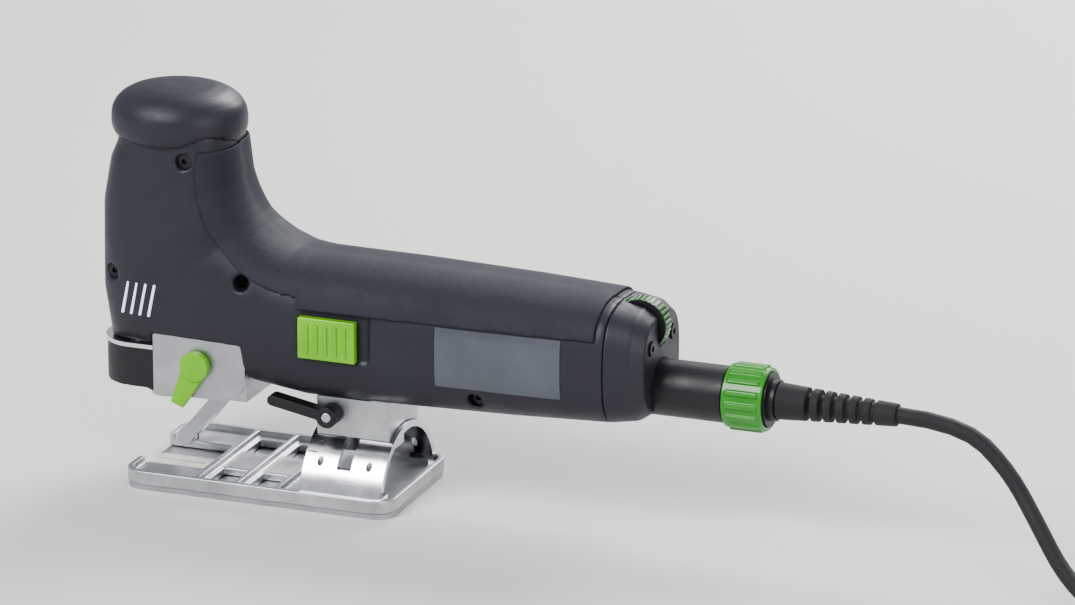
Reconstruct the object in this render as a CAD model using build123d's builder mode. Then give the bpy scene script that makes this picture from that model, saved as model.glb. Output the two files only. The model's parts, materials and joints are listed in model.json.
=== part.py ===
"""Corded barrel-grip jigsaw with a tilting base.

The frame stands on its sole: +Z is up, the saw cuts towards -X, and its left side faces -Y.
The origin lies in the sole, on the axis about which the saw tilts. All sizes are in millimetres.
"""

import os
from math import acos, cos, copysign, pi, radians, sin, sqrt, tan

from build123d import *

# Housing, seen from the side
FRONT_X = -76.0
REAR_X = 194.0
AXIS_Z = 80.0
NECK_TOP_Z = 168.0
NECK_BACK_X = -14.0
NECK_FRONT_X = -67.0
NECK_HALF_WIDTH = 25.0
BEND_X = 28.0
BEND_Z = 152.0
BEND_RADIUS = 40.0
HEAD_FLOOR_Z = 61.0
BARREL_RADIUS = 32.0
BARREL_REAR_RADIUS = 27.5
WALL = 3.0
SQUARENESS = 3.0
SECTION_POINTS = 16
REAR_SPLIT_X = 176.0

# Fits
RUNNING = 0.05
CLEARANCE = 0.3

# Motor and gears
SHAFT_RADIUS = 4.0
MODULE = 0.9
PINION_TEETH = 11
GEAR_TEETH = 49
PRESSURE_ANGLE = 25.0
ADDENDUM = 0.8 * MODULE
DEDENDUM = 1.1 * MODULE
BACKLASH = 0.12
GEAR_X = -24.0
GEAR_WIDTH = 10.0
GEAR_Z = AXIS_Z + MODULE * (PINION_TEETH + GEAR_TEETH) / 2
AXLE_RADIUS = 4.0
BEARING_RADIUS = 11.0
BEARING_WIDTH = 7.0
FRONT_BEARING_X = -6.0
REAR_BEARING_X = 120.0
BULKHEAD_X = -12.0
BULKHEAD_WIDTH = 6.0
STATOR_X = 36.0
STATOR_LENGTH = 46.0
STATOR_RADIUS = 27.0
ROTOR_RADIUS = 16.0
AIR_GAP = 0.6
END_TURN = 6.0
FAN_X = 8.0
FAN_WIDTH = 12.0
FAN_RADIUS = 23.0
FAN_BLADES = 14
COMMUTATOR_X = 94.0
COMMUTATOR_LENGTH = 14.0
COMMUTATOR_RADIUS = 11.0
BRUSH_WIDTH = 8.0
BRUSH_LENGTH = 12.0

# Plunger
STROKE = 26.0
PLUNGER_X = -50.0
PLUNGER_RADIUS = 5.0
PLUNGER_BOTTOM_Z = 50.0
PLUNGER_TOP_Z = 160.0
BUSH_WALL = 3.0
LOWER_BUSH_Z = 72.0
LOWER_BUSH_LENGTH = 12.0
UPPER_BUSH_Z = 138.0
UPPER_BUSH_LENGTH = 8.0
CRANK_PIN_RADIUS = 4.0
YOKE_BACK_X = -38.0
YOKE_THICKNESS = 6.0
YOKE_HEIGHT = 20.0
CLAMP_RADIUS = 8.0
CLAMP_BOTTOM_Z = 36.0
CLAMP_TOP_Z = 56.0
SLEEVE_BOTTOM_Z = 39.0
SLEEVE_TOP_Z = 51.0
SLEEVE_WALL = 2.5
BLADE_SLOT = 1.7

# Lower head
CASE_FRONT_X = -46.0
CASE_REAR_X = 0.0
CASE_HALF_WIDTH = 24.0
CASE_WALL = 5.0
CASE_BOTTOM_Z = 44.0
CASE_TOP_Z = 73.0
SHELF_Z = 70.0
NOSE_BOTTOM_Z = 46.0
NOSE_TOP_Z = 65.0
BAND_THICKNESS = 2.0
PLATE_THICKNESS = 2.0

# Pendulum
FORK_PIVOT = (-10.0, 52.0)
FORK_PIN_RADIUS = 2.5
ROLLER_CENTRE = (-40.0, 16.0)
ROLLER_RADIUS = 4.5
ROLLER_WIDTH = 6.0
ROLLER_PIN_RADIUS = 1.5
FORK_HALF_WIDTH = 7.0
SELECTOR_CENTRE = (-24.0, 60.0)
SELECTOR_TIP = (-33.0, 41.0)
SELECTOR_SHAFT_RADIUS = 3.0

# Base
BASE_FRONT_X = -58.0
BASE_REAR_X = 76.0
BASE_HALF_WIDTH = 38.0
BASE_CORNER = 10.0
SOLE_THICKNESS = 2.5
BASE_THICKNESS = 4.0
RIM_HEIGHT = 2.5
RIM_WIDTH = 3.0
BASE_SLOT_HALF_WIDTH = 17.0
SOLE_SLOT_HALF_WIDTH = 7.0
SLOT_REAR_X = -26.0
QUADRANT_RADIUS = 35.0
QUADRANT_WALL = 3.0
QUADRANT_FRONT_X = 30.0
QUADRANT_REAR_X = 70.0
CLAMP_SCREW_RADIUS = 3.0
TILT_LIMIT = 45.0
LEVER_HUB = (40.0, 42.0)
LEVER_TIP = (13.0, 47.0)
LEVER_PIN_RADIUS = 2.5

# Speed dial
DIAL_CENTRE = (185.0, 97.0)
DIAL_RADIUS = 12.0
DIAL_HALF_WIDTH = 4.0
DIAL_GAP = 0.5
DIAL_SHAFT_RADIUS = 1.5

# Inlet and lead
INLET_Z = 68.0
INLET_RADIUS = 13.0
INLET_REAR_X = 226.0
RING_RADIUS = 15.5
RING_REAR_X = 247.0
BOOT_REAR_X = 306.0
CORD_DIAMETER = 7.6
CORD_RADIUS = CORD_DIAMETER / 2

BASE_TOP_Z = SOLE_THICKNESS + BASE_THICKNESS
FAR = 400.0

os.makedirs("parts", exist_ok=True)


def write(part, label):
    """Label a finished piece and write it as its own STEP file."""
    part.label = label
    export_step(part, f"parts/{label}.step")


# ---------------------------------------------------------------- housing form

def neck_ray(angle, radius):
    """Point at a radius from the centre of the bend behind the neck."""
    return (BEND_X - radius * cos(radians(angle)), BEND_Z - radius * sin(radians(angle)))


def head_station(angle, outer_point, half_width):
    """Section of the head from the inside of the bend to a point on the front or the floor."""
    return (neck_ray(angle, BEND_RADIUS), outer_point, half_width)


def front_point(angle):
    """Where a ray of the bend meets the flat front of the head."""
    return (FRONT_X, BEND_Z - (BEND_X - FRONT_X) * tan(radians(angle)))


def barrel_station(x, radius, half_width):
    """Upright section of the barrel."""
    return ((x, AXIS_Z + radius), (x, AXIS_Z - radius), half_width)


STATIONS = [
    ((NECK_BACK_X, NECK_TOP_Z), (NECK_FRONT_X, NECK_TOP_Z), NECK_HALF_WIDTH),
    ((NECK_BACK_X + 1, NECK_TOP_Z - 8), (NECK_FRONT_X - 2, NECK_TOP_Z - 8), NECK_HALF_WIDTH),
    ((BEND_X - BEND_RADIUS, BEND_Z), (NECK_FRONT_X - 5.5, BEND_Z), NECK_HALF_WIDTH + 0.5),
    head_station(11, front_point(11), 27.0),
    head_station(22, front_point(22), 29.0),
    head_station(31, front_point(31), 30.0),
    head_station(38.5, (FRONT_X + 4, HEAD_FLOOR_Z + 3), 30.5),
    head_station(48, (-44.0, HEAD_FLOOR_Z), 31.0),
    head_station(61, (-20.0, 59.0), 31.5),
    head_station(76, (2.0, 51.5), 32.0),
    barrel_station(BEND_X, BARREL_RADIUS, BARREL_RADIUS),
    barrel_station(75.0, BARREL_RADIUS - 0.5, BARREL_RADIUS),
    barrel_station(130.0, BARREL_RADIUS - 2.0, BARREL_RADIUS - 0.8),
    barrel_station(176.0, BARREL_REAR_RADIUS + 0.5, BARREL_REAR_RADIUS + 2.0),
    barrel_station(188.0, BARREL_REAR_RADIUS - 1.5, BARREL_REAR_RADIUS),
    barrel_station(REAR_X, BARREL_REAR_RADIUS - 5.5, BARREL_REAR_RADIUS - 4.0),
]


def section_plane(station):
    """Plane of a section, square to the centre line of the housing."""
    (inner_x, inner_z), (outer_x, outer_z), _ = station
    centre = Vector((inner_x + outer_x) / 2, 0, (inner_z + outer_z) / 2)
    across = Vector(inner_x - outer_x, 0, inner_z - outer_z).normalized()
    return Plane(centre, x_dir=(0, 1, 0), z_dir=Vector(0, 1, 0).cross(across))


def section_points(station, inset):
    """Points of a rounded-square section, drawn in by the inset."""
    (inner_x, inner_z), (outer_x, outer_z), half_width = station
    half_length = sqrt((inner_x - outer_x) ** 2 + (inner_z - outer_z) ** 2) / 2 - inset
    points = []
    for step in range(SECTION_POINTS):
        angle = 2 * pi * step / SECTION_POINTS + pi / 2
        across = copysign(abs(cos(angle)) ** (2 / SQUARENESS), cos(angle))
        along = copysign(abs(sin(angle)) ** (2 / SQUARENESS), sin(angle))
        points.append(((half_width - inset) * across, half_length * along))
    return points


def housing_form(inset):
    """Solid form of neck, head and barrel, drawn in by the inset and lofted in three stretches."""
    bend_start = 5
    barrel_start = 10
    stretches = ((0, bend_start), (bend_start, barrel_start), (barrel_start, len(STATIONS) - 1))
    with BuildPart() as form:
        for first, last in stretches:
            for station in STATIONS[first:last + 1]:
                with BuildSketch(section_plane(station)):
                    with BuildLine():
                        Spline(*section_points(station, inset), periodic=True)
                    make_face()
            loft(ruled=True)
    return form.part


outer_form = housing_form(0)
inner_form = housing_form(WALL)


def bar_x(radius, start, end, y=0.0, z=AXIS_Z, mode=Mode.ADD):
    """Round bar along X in the part being built."""
    with BuildSketch(Plane.YZ.offset(start)) as profile:
        with Locations((y, z)):
            Circle(radius)
    extrude(profile.sketch, amount=end - start, mode=mode)


def bar_y(radius, start, end, x, z, mode=Mode.ADD):
    """Round bar along Y in the part being built."""
    with BuildSketch(Plane.XZ.offset(-end)) as profile:
        with Locations((x, z)):
            Circle(radius)
    extrude(profile.sketch, amount=end - start, mode=mode)


def bar_z(radius, start, end, x=PLUNGER_X, y=0.0, mode=Mode.ADD):
    """Round bar along Z in the part being built."""
    with BuildSketch(Plane.XY.offset(start)) as profile:
        with Locations((x, y)):
            Circle(radius)
    extrude(profile.sketch, amount=end - start, mode=mode)


def block(x, y, z, mode=Mode.ADD):
    """Block between two limits on each axis in the part being built."""
    with BuildSketch(Plane.XY.offset(z[0])) as profile:
        with Locations(((x[0] + x[1]) / 2, (y[0] + y[1]) / 2)):
            Rectangle(x[1] - x[0], y[1] - y[0])
    extrude(profile.sketch, amount=z[1] - z[0], mode=mode)


# ---------------------------------------------------------------- housing shells

SCREW_SPOTS = [(-30.0, 156.0), (-66.0, 100.0), (0.0, 103.0), (114.0, 101.0), (114.0, 60.0)]
SCREW_RADIUS = 2.0
SCREW_HEAD_RADIUS = 3.4
SCREW_HEAD_Y = -20.0
BOSS_RADIUS = 5.3
SWITCH_X = (30.0, 58.0)
SWITCH_Z = (72.5, 92.0)
SWITCH_TRAVEL = 6.0
SWITCH_RECESS = 1.6
SWITCH_PROUD = 2.5
BADGE_X = (96.0, 156.0)
BADGE_Z = (66.0, 94.0)
BADGE_THICKNESS = 0.8
VENT_X = (134.0, 166.0)
VENT_COUNT = 5
VENT_WIDTH = 2.6
VENT_Z = (98.0, 104.0)
RIB_WIDTH = 3.0
STATOR_RIBS_X = (40.0, 74.0)
PLUNGER_OPENING = 13.0
CAP_SCREW_Y = 14.0
CAP_SCREW_Z = 90.0
CAP_SCREW_SINK = 1.2
SCREW_HEAD_HEIGHT = 2.4
CAP_SCREW_HEAD_HEIGHT = 2.0
DRIVE_RADIUS = 1.4
DRIVE_DEPTH = 1.5

with BuildPart() as bosses:
    for spot_x, spot_z in SCREW_SPOTS:
        bar_y(BOSS_RADIUS, -BARREL_RADIUS, BARREL_RADIUS, spot_x, spot_z)
    add(inner_form, mode=Mode.INTERSECT)

with BuildPart() as ribs:
    for rib_x in STATOR_RIBS_X:
        block((rib_x, rib_x + RIB_WIDTH), (-FAR, FAR), (0, FAR))
    block((REAR_BEARING_X, REAR_BEARING_X + BEARING_WIDTH), (-FAR, FAR), (0, FAR))
    add(inner_form, mode=Mode.INTERSECT)
    bar_x(STATOR_RADIUS, STATOR_X, STATOR_X + STATOR_LENGTH, mode=Mode.SUBTRACT)
    bar_x(BEARING_RADIUS, REAR_BEARING_X, REAR_BEARING_X + BEARING_WIDTH, mode=Mode.SUBTRACT)

with BuildPart() as switch_recess:
    block((SWITCH_X[0] - CLEARANCE, SWITCH_X[1] + SWITCH_TRAVEL + CLEARANCE), (-FAR, FAR),
          (SWITCH_Z[0] - CLEARANCE, SWITCH_Z[1] + 5))
    add(housing_form(SWITCH_RECESS), mode=Mode.SUBTRACT)

with BuildPart() as badges:
    block(BADGE_X, (-FAR, FAR), BADGE_Z)
    add(outer_form, mode=Mode.INTERSECT)
    add(housing_form(BADGE_THICKNESS), mode=Mode.SUBTRACT)


def housing_half(side):
    """Left (-1) or right (+1) half of the plastic housing."""
    with BuildPart() as half:
        add(outer_form)
        add(inner_form, mode=Mode.SUBTRACT)
        add(bosses.part)
        add(ribs.part)
        block((-FAR, REAR_SPLIT_X), (min(0, side * FAR), max(0, side * FAR)), (0, FAR), mode=Mode.INTERSECT)
        block((CASE_FRONT_X, CASE_REAR_X), (-FAR, FAR), (0, CASE_TOP_Z), mode=Mode.SUBTRACT)
        block((-FAR, CASE_FRONT_X), (-FAR, FAR), (0, NOSE_TOP_Z + BAND_THICKNESS), mode=Mode.SUBTRACT)
        block((PLUNGER_X - PLUNGER_OPENING, CASE_FRONT_X), (-PLUNGER_OPENING, PLUNGER_OPENING),
              (0, CASE_TOP_Z + 2), mode=Mode.SUBTRACT)
        add(switch_recess.part, mode=Mode.SUBTRACT)
        add(badges.part, mode=Mode.SUBTRACT)
        bar_y(DIAL_RADIUS + DIAL_GAP, -DIAL_HALF_WIDTH - DIAL_GAP, DIAL_HALF_WIDTH + DIAL_GAP, *DIAL_CENTRE,
              mode=Mode.SUBTRACT)
        vent_pitch = (VENT_X[1] - VENT_X[0]) / (VENT_COUNT - 1)
        for number in range(VENT_COUNT):
            start = VENT_X[0] + number * vent_pitch
            block((start, start + VENT_WIDTH), (min(0, side * FAR), max(0, side * FAR)), VENT_Z,
                  mode=Mode.SUBTRACT)
        for spot_x, spot_z in SCREW_SPOTS:
            bar_y(SCREW_RADIUS, -FAR, BARREL_RADIUS / 2, spot_x, spot_z, mode=Mode.SUBTRACT)
            bar_y(SCREW_HEAD_RADIUS + CLEARANCE, -FAR, SCREW_HEAD_Y, spot_x, spot_z, mode=Mode.SUBTRACT)
    return half.part


write(housing_half(-1), "housing_left")
write(housing_half(1), "housing_right")

write(badges.part, "side_badges")

with BuildPart() as housing_screws:
    for spot_x, spot_z in SCREW_SPOTS:
        bar_y(SCREW_RADIUS, SCREW_HEAD_Y, BARREL_RADIUS / 2, spot_x, spot_z)
        head_y = SCREW_HEAD_Y - SCREW_HEAD_HEIGHT
        bar_y(SCREW_HEAD_RADIUS, head_y, SCREW_HEAD_Y, spot_x, spot_z)
        bar_y(DRIVE_RADIUS, head_y, head_y + DRIVE_DEPTH, spot_x, spot_z, mode=Mode.SUBTRACT)
    for screw_y in (-CAP_SCREW_Y, CAP_SCREW_Y):
        seat_x = REAR_X - CAP_SCREW_SINK
        end_x = seat_x + CAP_SCREW_HEAD_HEIGHT
        bar_x(SCREW_RADIUS, REAR_SPLIT_X + 2, seat_x, y=screw_y, z=CAP_SCREW_Z)
        bar_x(SCREW_HEAD_RADIUS, seat_x, end_x, y=screw_y, z=CAP_SCREW_Z)
        bar_x(DRIVE_RADIUS, end_x - DRIVE_DEPTH, end_x, y=screw_y, z=CAP_SCREW_Z, mode=Mode.SUBTRACT)
write(housing_screws.part, "housing_screws")

# Top cap: a shallow dome whose rim overhangs the neck
CAP_HALF_LENGTH = 32.0
CAP_HALF_WIDTH = 29.0
CAP_RIM_Z = 162.0
CAP_SIDE_Z = 172.0
CAP_TOP_Z = 186.0
CAP_X = (NECK_FRONT_X + NECK_BACK_X) / 2 - 1.5
CAP_LAYERS = 7
CAP_LAST_RISE = radians(84)
CAP_ROUNDNESS = 0.6
CAP_POCKET_RADIUS = 12.0
CAP_POCKET_DEPTH = 9.0
cap_sections = [(CAP_RIM_Z, 0.92), (CAP_RIM_Z + 2.5, 0.97), (CAP_RIM_Z + 5.5, 1.0)]
for layer in range(CAP_LAYERS):
    rise = CAP_LAST_RISE * layer / (CAP_LAYERS - 1)
    layer_z = CAP_SIDE_Z + (CAP_TOP_Z - CAP_SIDE_Z) * sin(rise) / sin(CAP_LAST_RISE)
    cap_sections.append((layer_z, cos(rise) ** CAP_ROUNDNESS))
with BuildPart() as top_cap:
    for height, share in cap_sections:
        with BuildSketch(Plane.XY.offset(height)):
            with Locations((CAP_X, 0)):
                Ellipse(CAP_HALF_LENGTH * share, CAP_HALF_WIDTH * share)
    loft(ruled=True)
    add(outer_form, mode=Mode.SUBTRACT)
    bar_z(CAP_POCKET_RADIUS, NECK_TOP_Z, NECK_TOP_Z + CAP_POCKET_DEPTH, mode=Mode.SUBTRACT)
write(top_cap.part, "top_cap")

# Soft grip over the bend and the barrel's top
GRIP_THICKNESS = 1.4
GRIP_FRONT_RADIUS = 52.0
GRIP_BOTTOM_Z = 95.0
GRIP_REAR_X = 172.0
with BuildPart() as grip_region:
    bar_y(GRIP_FRONT_RADIUS, -FAR, FAR, BEND_X, BEND_Z)
    block((BEND_X, GRIP_REAR_X), (-FAR, FAR), (GRIP_BOTTOM_Z, BEND_Z))
    block((-FAR, GRIP_REAR_X), (-FAR, FAR), (GRIP_BOTTOM_Z, CAP_RIM_Z - 1), mode=Mode.INTERSECT)
with BuildPart() as soft_grip:
    add(housing_form(-GRIP_THICKNESS))
    add(outer_form, mode=Mode.SUBTRACT)
    add(grip_region.part, mode=Mode.INTERSECT)
write(soft_grip.part, "soft_grip")

# Rear cap with the thumbwheel slot and the inlet's hole
CAP_WALL = 3.5
with BuildPart() as rear_cavity:
    add(inner_form)
    block((REAR_SPLIT_X, REAR_X - CAP_WALL), (-FAR, FAR), (0, FAR), mode=Mode.INTERSECT)
with BuildPart() as rear_cap:
    add(outer_form)
    block((REAR_SPLIT_X, REAR_X), (-FAR, FAR), (0, FAR), mode=Mode.INTERSECT)
    add(rear_cavity.part, mode=Mode.SUBTRACT)
    bar_x(INLET_RADIUS, REAR_SPLIT_X, REAR_X, z=INLET_Z, mode=Mode.SUBTRACT)
    bar_y(DIAL_RADIUS + DIAL_GAP, -DIAL_HALF_WIDTH - DIAL_GAP, DIAL_HALF_WIDTH + DIAL_GAP, *DIAL_CENTRE,
          mode=Mode.SUBTRACT)
    for screw_y in (-CAP_SCREW_Y, CAP_SCREW_Y):
        bar_x(SCREW_RADIUS, REAR_SPLIT_X, REAR_X, y=screw_y, z=CAP_SCREW_Z, mode=Mode.SUBTRACT)
        bar_x(SCREW_HEAD_RADIUS, REAR_X - CAP_SCREW_SINK, REAR_X, y=screw_y, z=CAP_SCREW_Z,
              mode=Mode.SUBTRACT)
write(rear_cap.part, "rear_cap")

# ---------------------------------------------------------------- nose, band and gear case

NOSE_WALL = 3.0
NOSE_FRONT_X = FRONT_X + 1.0
NOSE_HALF_WIDTH = 26.0
NOSE_CORNER = 17.0
BAND_OVERHANG = 0.6
LIGHT_Y = 9.0
LIGHT_Z = 54.0
LIGHT_RADIUS = 3.0
LIGHT_SINK = 0.6
LIGHT_LENGTH = 4.4


def nose_layer(bottom, height, inset, mode=Mode.ADD):
    """Layer with the plan of the nose: straight sides, a rounded front and a flat rear."""
    front = NOSE_FRONT_X + inset
    half = NOSE_HALF_WIDTH - inset
    corner = NOSE_CORNER - inset
    with BuildSketch(Plane.XY.offset(bottom)) as profile:
        with BuildLine():
            FilletPolyline((CASE_FRONT_X, -half), (front, -half), (front, half), (CASE_FRONT_X, half),
                           radius=corner)
            Line((CASE_FRONT_X, half), (CASE_FRONT_X, -half))
        make_face()
    extrude(profile.sketch, amount=height, mode=mode)


with BuildPart() as nose_cover:
    nose_layer(NOSE_BOTTOM_Z, NOSE_TOP_Z - NOSE_BOTTOM_Z, 0)
    nose_layer(NOSE_BOTTOM_Z, NOSE_TOP_Z - NOSE_BOTTOM_Z, NOSE_WALL, mode=Mode.SUBTRACT)
    for light_y in (-LIGHT_Y, LIGHT_Y):
        bar_x(LIGHT_RADIUS, NOSE_FRONT_X - 1, NOSE_FRONT_X + 2 * NOSE_WALL, y=light_y, z=LIGHT_Z,
              mode=Mode.SUBTRACT)
write(nose_cover.part, "nose_cover")

with BuildPart() as work_lights:
    for light_y in (-LIGHT_Y, LIGHT_Y):
        light_x = NOSE_FRONT_X + LIGHT_SINK
        bar_x(LIGHT_RADIUS, light_x, light_x + LIGHT_LENGTH, y=light_y, z=LIGHT_Z)
write(work_lights.part, "work_lights")

with BuildPart() as nose_band:
    nose_layer(NOSE_TOP_Z, BAND_THICKNESS, -BAND_OVERHANG)
    nose_layer(NOSE_TOP_Z, BAND_THICKNESS, NOSE_WALL, mode=Mode.SUBTRACT)
write(nose_band.part, "nose_band")

BULKHEAD_TOP_Z = GEAR_Z + 15
SHELF_REACH = 12.0
BOSS_WALL = 3.0
SHAFT_HOLE_RADIUS = 7.0
with BuildPart() as gear_case:
    block((BULKHEAD_X, BULKHEAD_X + BULKHEAD_WIDTH), (-FAR, FAR), (CASE_TOP_Z, BULKHEAD_TOP_Z))
    add(inner_form, mode=Mode.INTERSECT)
    block((CASE_FRONT_X, CASE_REAR_X), (-CASE_HALF_WIDTH, CASE_HALF_WIDTH), (CASE_BOTTOM_Z, CASE_TOP_Z))
    block((CASE_FRONT_X, CASE_REAR_X - CASE_WALL),
          (-CASE_HALF_WIDTH + CASE_WALL, CASE_HALF_WIDTH - CASE_WALL),
          (CASE_BOTTOM_Z, SHELF_Z), mode=Mode.SUBTRACT)
    block((PLUNGER_X - SHELF_REACH, CASE_FRONT_X), (-SHELF_REACH, SHELF_REACH), (SHELF_Z, CASE_TOP_Z))
    bar_z(PLUNGER_RADIUS + BUSH_WALL + BOSS_WALL, SHELF_Z, LOWER_BUSH_Z + LOWER_BUSH_LENGTH)
    bar_z(PLUNGER_RADIUS + BUSH_WALL, LOWER_BUSH_Z, LOWER_BUSH_Z + LOWER_BUSH_LENGTH, mode=Mode.SUBTRACT)
    bar_z(PLUNGER_RADIUS + 1, SHELF_Z, LOWER_BUSH_Z, mode=Mode.SUBTRACT)
    bar_x(BEARING_RADIUS + BOSS_WALL, BULKHEAD_X, FRONT_BEARING_X + BEARING_WIDTH)
    bar_x(BEARING_RADIUS, FRONT_BEARING_X, FRONT_BEARING_X + BEARING_WIDTH, mode=Mode.SUBTRACT)
    bar_x(SHAFT_HOLE_RADIUS, BULKHEAD_X, FRONT_BEARING_X, mode=Mode.SUBTRACT)
    bar_x(AXLE_RADIUS, BULKHEAD_X, BULKHEAD_X + BULKHEAD_WIDTH, z=GEAR_Z, mode=Mode.SUBTRACT)
    bar_y(FORK_PIN_RADIUS, -FAR, FAR, *FORK_PIVOT, mode=Mode.SUBTRACT)
    bar_y(SELECTOR_SHAFT_RADIUS + RUNNING, -CASE_HALF_WIDTH, 0, *SELECTOR_CENTRE, mode=Mode.SUBTRACT)
write(gear_case.part, "gear_case")

# Quarter-round plates on both sides of the gear case
PLATE_CORNER = (16.0, 8.0)
PLATE_ARC_RADIUS = 19.0
for name, side in (("selector_plate", -1), ("side_plate", 1)):
    outer_face = side * (CASE_HALF_WIDTH + PLATE_THICKNESS)
    with BuildPart() as plate:
        with BuildSketch(Plane.XZ.offset(-max(side * CASE_HALF_WIDTH, outer_face))):
            with BuildLine():
                Line((CASE_FRONT_X, CASE_TOP_Z), (CASE_REAR_X, CASE_TOP_Z))
                Line((CASE_REAR_X, CASE_TOP_Z), (CASE_REAR_X, CASE_BOTTOM_Z + PLATE_CORNER[1]))
                RadiusArc((CASE_REAR_X, CASE_BOTTOM_Z + PLATE_CORNER[1]),
                          (CASE_REAR_X - PLATE_CORNER[0], CASE_BOTTOM_Z), PLATE_ARC_RADIUS)
                Line((CASE_REAR_X - PLATE_CORNER[0], CASE_BOTTOM_Z), (CASE_FRONT_X, CASE_BOTTOM_Z))
                Line((CASE_FRONT_X, CASE_BOTTOM_Z), (CASE_FRONT_X, CASE_TOP_Z))
            make_face()
        extrude(amount=PLATE_THICKNESS)
        bar_y(SELECTOR_SHAFT_RADIUS + RUNNING, -FAR, 0, *SELECTOR_CENTRE, mode=Mode.SUBTRACT)
    write(plate.part, name)

# ---------------------------------------------------------------- gears


def tooth_half_angle(teeth, radius):
    """Half the angle that a tooth covers at a radius, from its involute flank."""
    pitch_radius = MODULE * teeth / 2
    base_radius = pitch_radius * cos(radians(PRESSURE_ANGLE))
    flank = acos(min(1.0, base_radius / max(radius, base_radius)))
    pressure = radians(PRESSURE_ANGLE)
    at_pitch = pi / (2 * teeth) - BACKLASH / (2 * pitch_radius)
    return at_pitch + (tan(pressure) - pressure) - (tan(flank) - flank)


def gear_layer(teeth, start, width, centre_z, first_angle):
    """Spur gear about an axis along X, with one tooth centred at the first angle."""
    pitch_radius = MODULE * teeth / 2
    root = pitch_radius - DEDENDUM
    tip = pitch_radius + ADDENDUM
    radii = [root, (root + pitch_radius) / 2, pitch_radius, tip]
    points = []
    for tooth in range(teeth):
        middle = first_angle + 2 * pi * tooth / teeth
        for radius in radii:
            angle = middle - tooth_half_angle(teeth, radius)
            points.append((radius * cos(angle), radius * sin(angle)))
        for radius in reversed(radii):
            angle = middle + tooth_half_angle(teeth, radius)
            points.append((radius * cos(angle), radius * sin(angle)))
    with BuildSketch(Plane.YZ.offset(start)) as profile:
        with Locations((0, centre_z)):
            Polygon(*points, align=None)
    extrude(profile.sketch, amount=width)


with BuildPart() as drive_gear:
    gear_layer(GEAR_TEETH, GEAR_X, GEAR_WIDTH, GEAR_Z, -pi / 2)
    bar_x(AXLE_RADIUS + RUNNING, GEAR_X, GEAR_X + GEAR_WIDTH, z=GEAR_Z, mode=Mode.SUBTRACT)
write(drive_gear.part, "drive_gear")

CRANK_RADIUS = STROKE / 2
WEIGHT_THICKNESS = 3.0
WEIGHT_RADIUS = 19.0
YOKE_GAP = 0.5
with BuildPart() as crank_weight:
    bar_x(WEIGHT_RADIUS, GEAR_X - WEIGHT_THICKNESS, GEAR_X, z=GEAR_Z)
    bar_x(AXLE_RADIUS + 1, GEAR_X - WEIGHT_THICKNESS, GEAR_X, z=GEAR_Z, mode=Mode.SUBTRACT)
    bar_x(CRANK_PIN_RADIUS, YOKE_BACK_X + YOKE_GAP, GEAR_X, y=CRANK_RADIUS, z=GEAR_Z)
write(crank_weight.part, "crank_weight")

with BuildPart() as gear_axle:
    bar_x(AXLE_RADIUS, GEAR_X, BULKHEAD_X + BULKHEAD_WIDTH, z=GEAR_Z)
write(gear_axle.part, "gear_axle")

# ---------------------------------------------------------------- motor

SHAFT_REAR_X = REAR_BEARING_X + BEARING_WIDTH + 3
with BuildPart() as motor_shaft:
    bar_x(SHAFT_RADIUS, BULKHEAD_X, SHAFT_REAR_X)
    gear_layer(PINION_TEETH, GEAR_X - 1, BULKHEAD_X - GEAR_X + 1, AXIS_Z, pi / 2 + pi / PINION_TEETH)
write(motor_shaft.part, "motor_shaft")

ROTOR_SLOTS = 12
ROTOR_SLOT_DEPTH = 3.5
ROTOR_SLOT_WIDTH = 1.6
with BuildPart() as rotor_core:
    bar_x(ROTOR_RADIUS, STATOR_X, STATOR_X + STATOR_LENGTH)
    bar_x(SHAFT_RADIUS, STATOR_X, STATOR_X + STATOR_LENGTH, mode=Mode.SUBTRACT)
    with BuildSketch(Plane.YZ.offset(STATOR_X)):
        with Locations((0, AXIS_Z)):
            with PolarLocations(ROTOR_RADIUS - ROTOR_SLOT_DEPTH / 2, ROTOR_SLOTS):
                Rectangle(ROTOR_SLOT_DEPTH, ROTOR_SLOT_WIDTH)
    extrude(amount=STATOR_LENGTH, mode=Mode.SUBTRACT)
write(rotor_core.part, "rotor_core")

with BuildPart() as armature_windings:
    for start in (STATOR_X - END_TURN, STATOR_X + STATOR_LENGTH):
        bar_x(ROTOR_RADIUS - 2.5, start, start + END_TURN)
        bar_x(SHAFT_RADIUS, start, start + END_TURN, mode=Mode.SUBTRACT)
write(armature_windings.part, "armature_windings")

with BuildPart() as commutator:
    bar_x(COMMUTATOR_RADIUS, COMMUTATOR_X, COMMUTATOR_X + COMMUTATOR_LENGTH)
    bar_x(SHAFT_RADIUS, COMMUTATOR_X, COMMUTATOR_X + COMMUTATOR_LENGTH, mode=Mode.SUBTRACT)
write(commutator.part, "commutator")

FAN_HUB_RADIUS = 7.0
FAN_PLATE = 2.0
FAN_BLADE_THICKNESS = 1.4
with BuildPart() as fan:
    bar_x(FAN_HUB_RADIUS, FAN_X, FAN_X + FAN_WIDTH)
    bar_x(FAN_RADIUS, FAN_X + FAN_WIDTH - FAN_PLATE, FAN_X + FAN_WIDTH)
    with BuildSketch(Plane.YZ.offset(FAN_X)):
        with Locations((0, AXIS_Z)):
            with PolarLocations((FAN_RADIUS + FAN_HUB_RADIUS - 1) / 2, FAN_BLADES):
                Rectangle(FAN_RADIUS - FAN_HUB_RADIUS + 1, FAN_BLADE_THICKNESS)
    extrude(amount=FAN_WIDTH - FAN_PLATE)
    bar_x(SHAFT_RADIUS, FAN_X, FAN_X + FAN_WIDTH, mode=Mode.SUBTRACT)
write(fan.part, "fan")

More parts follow.
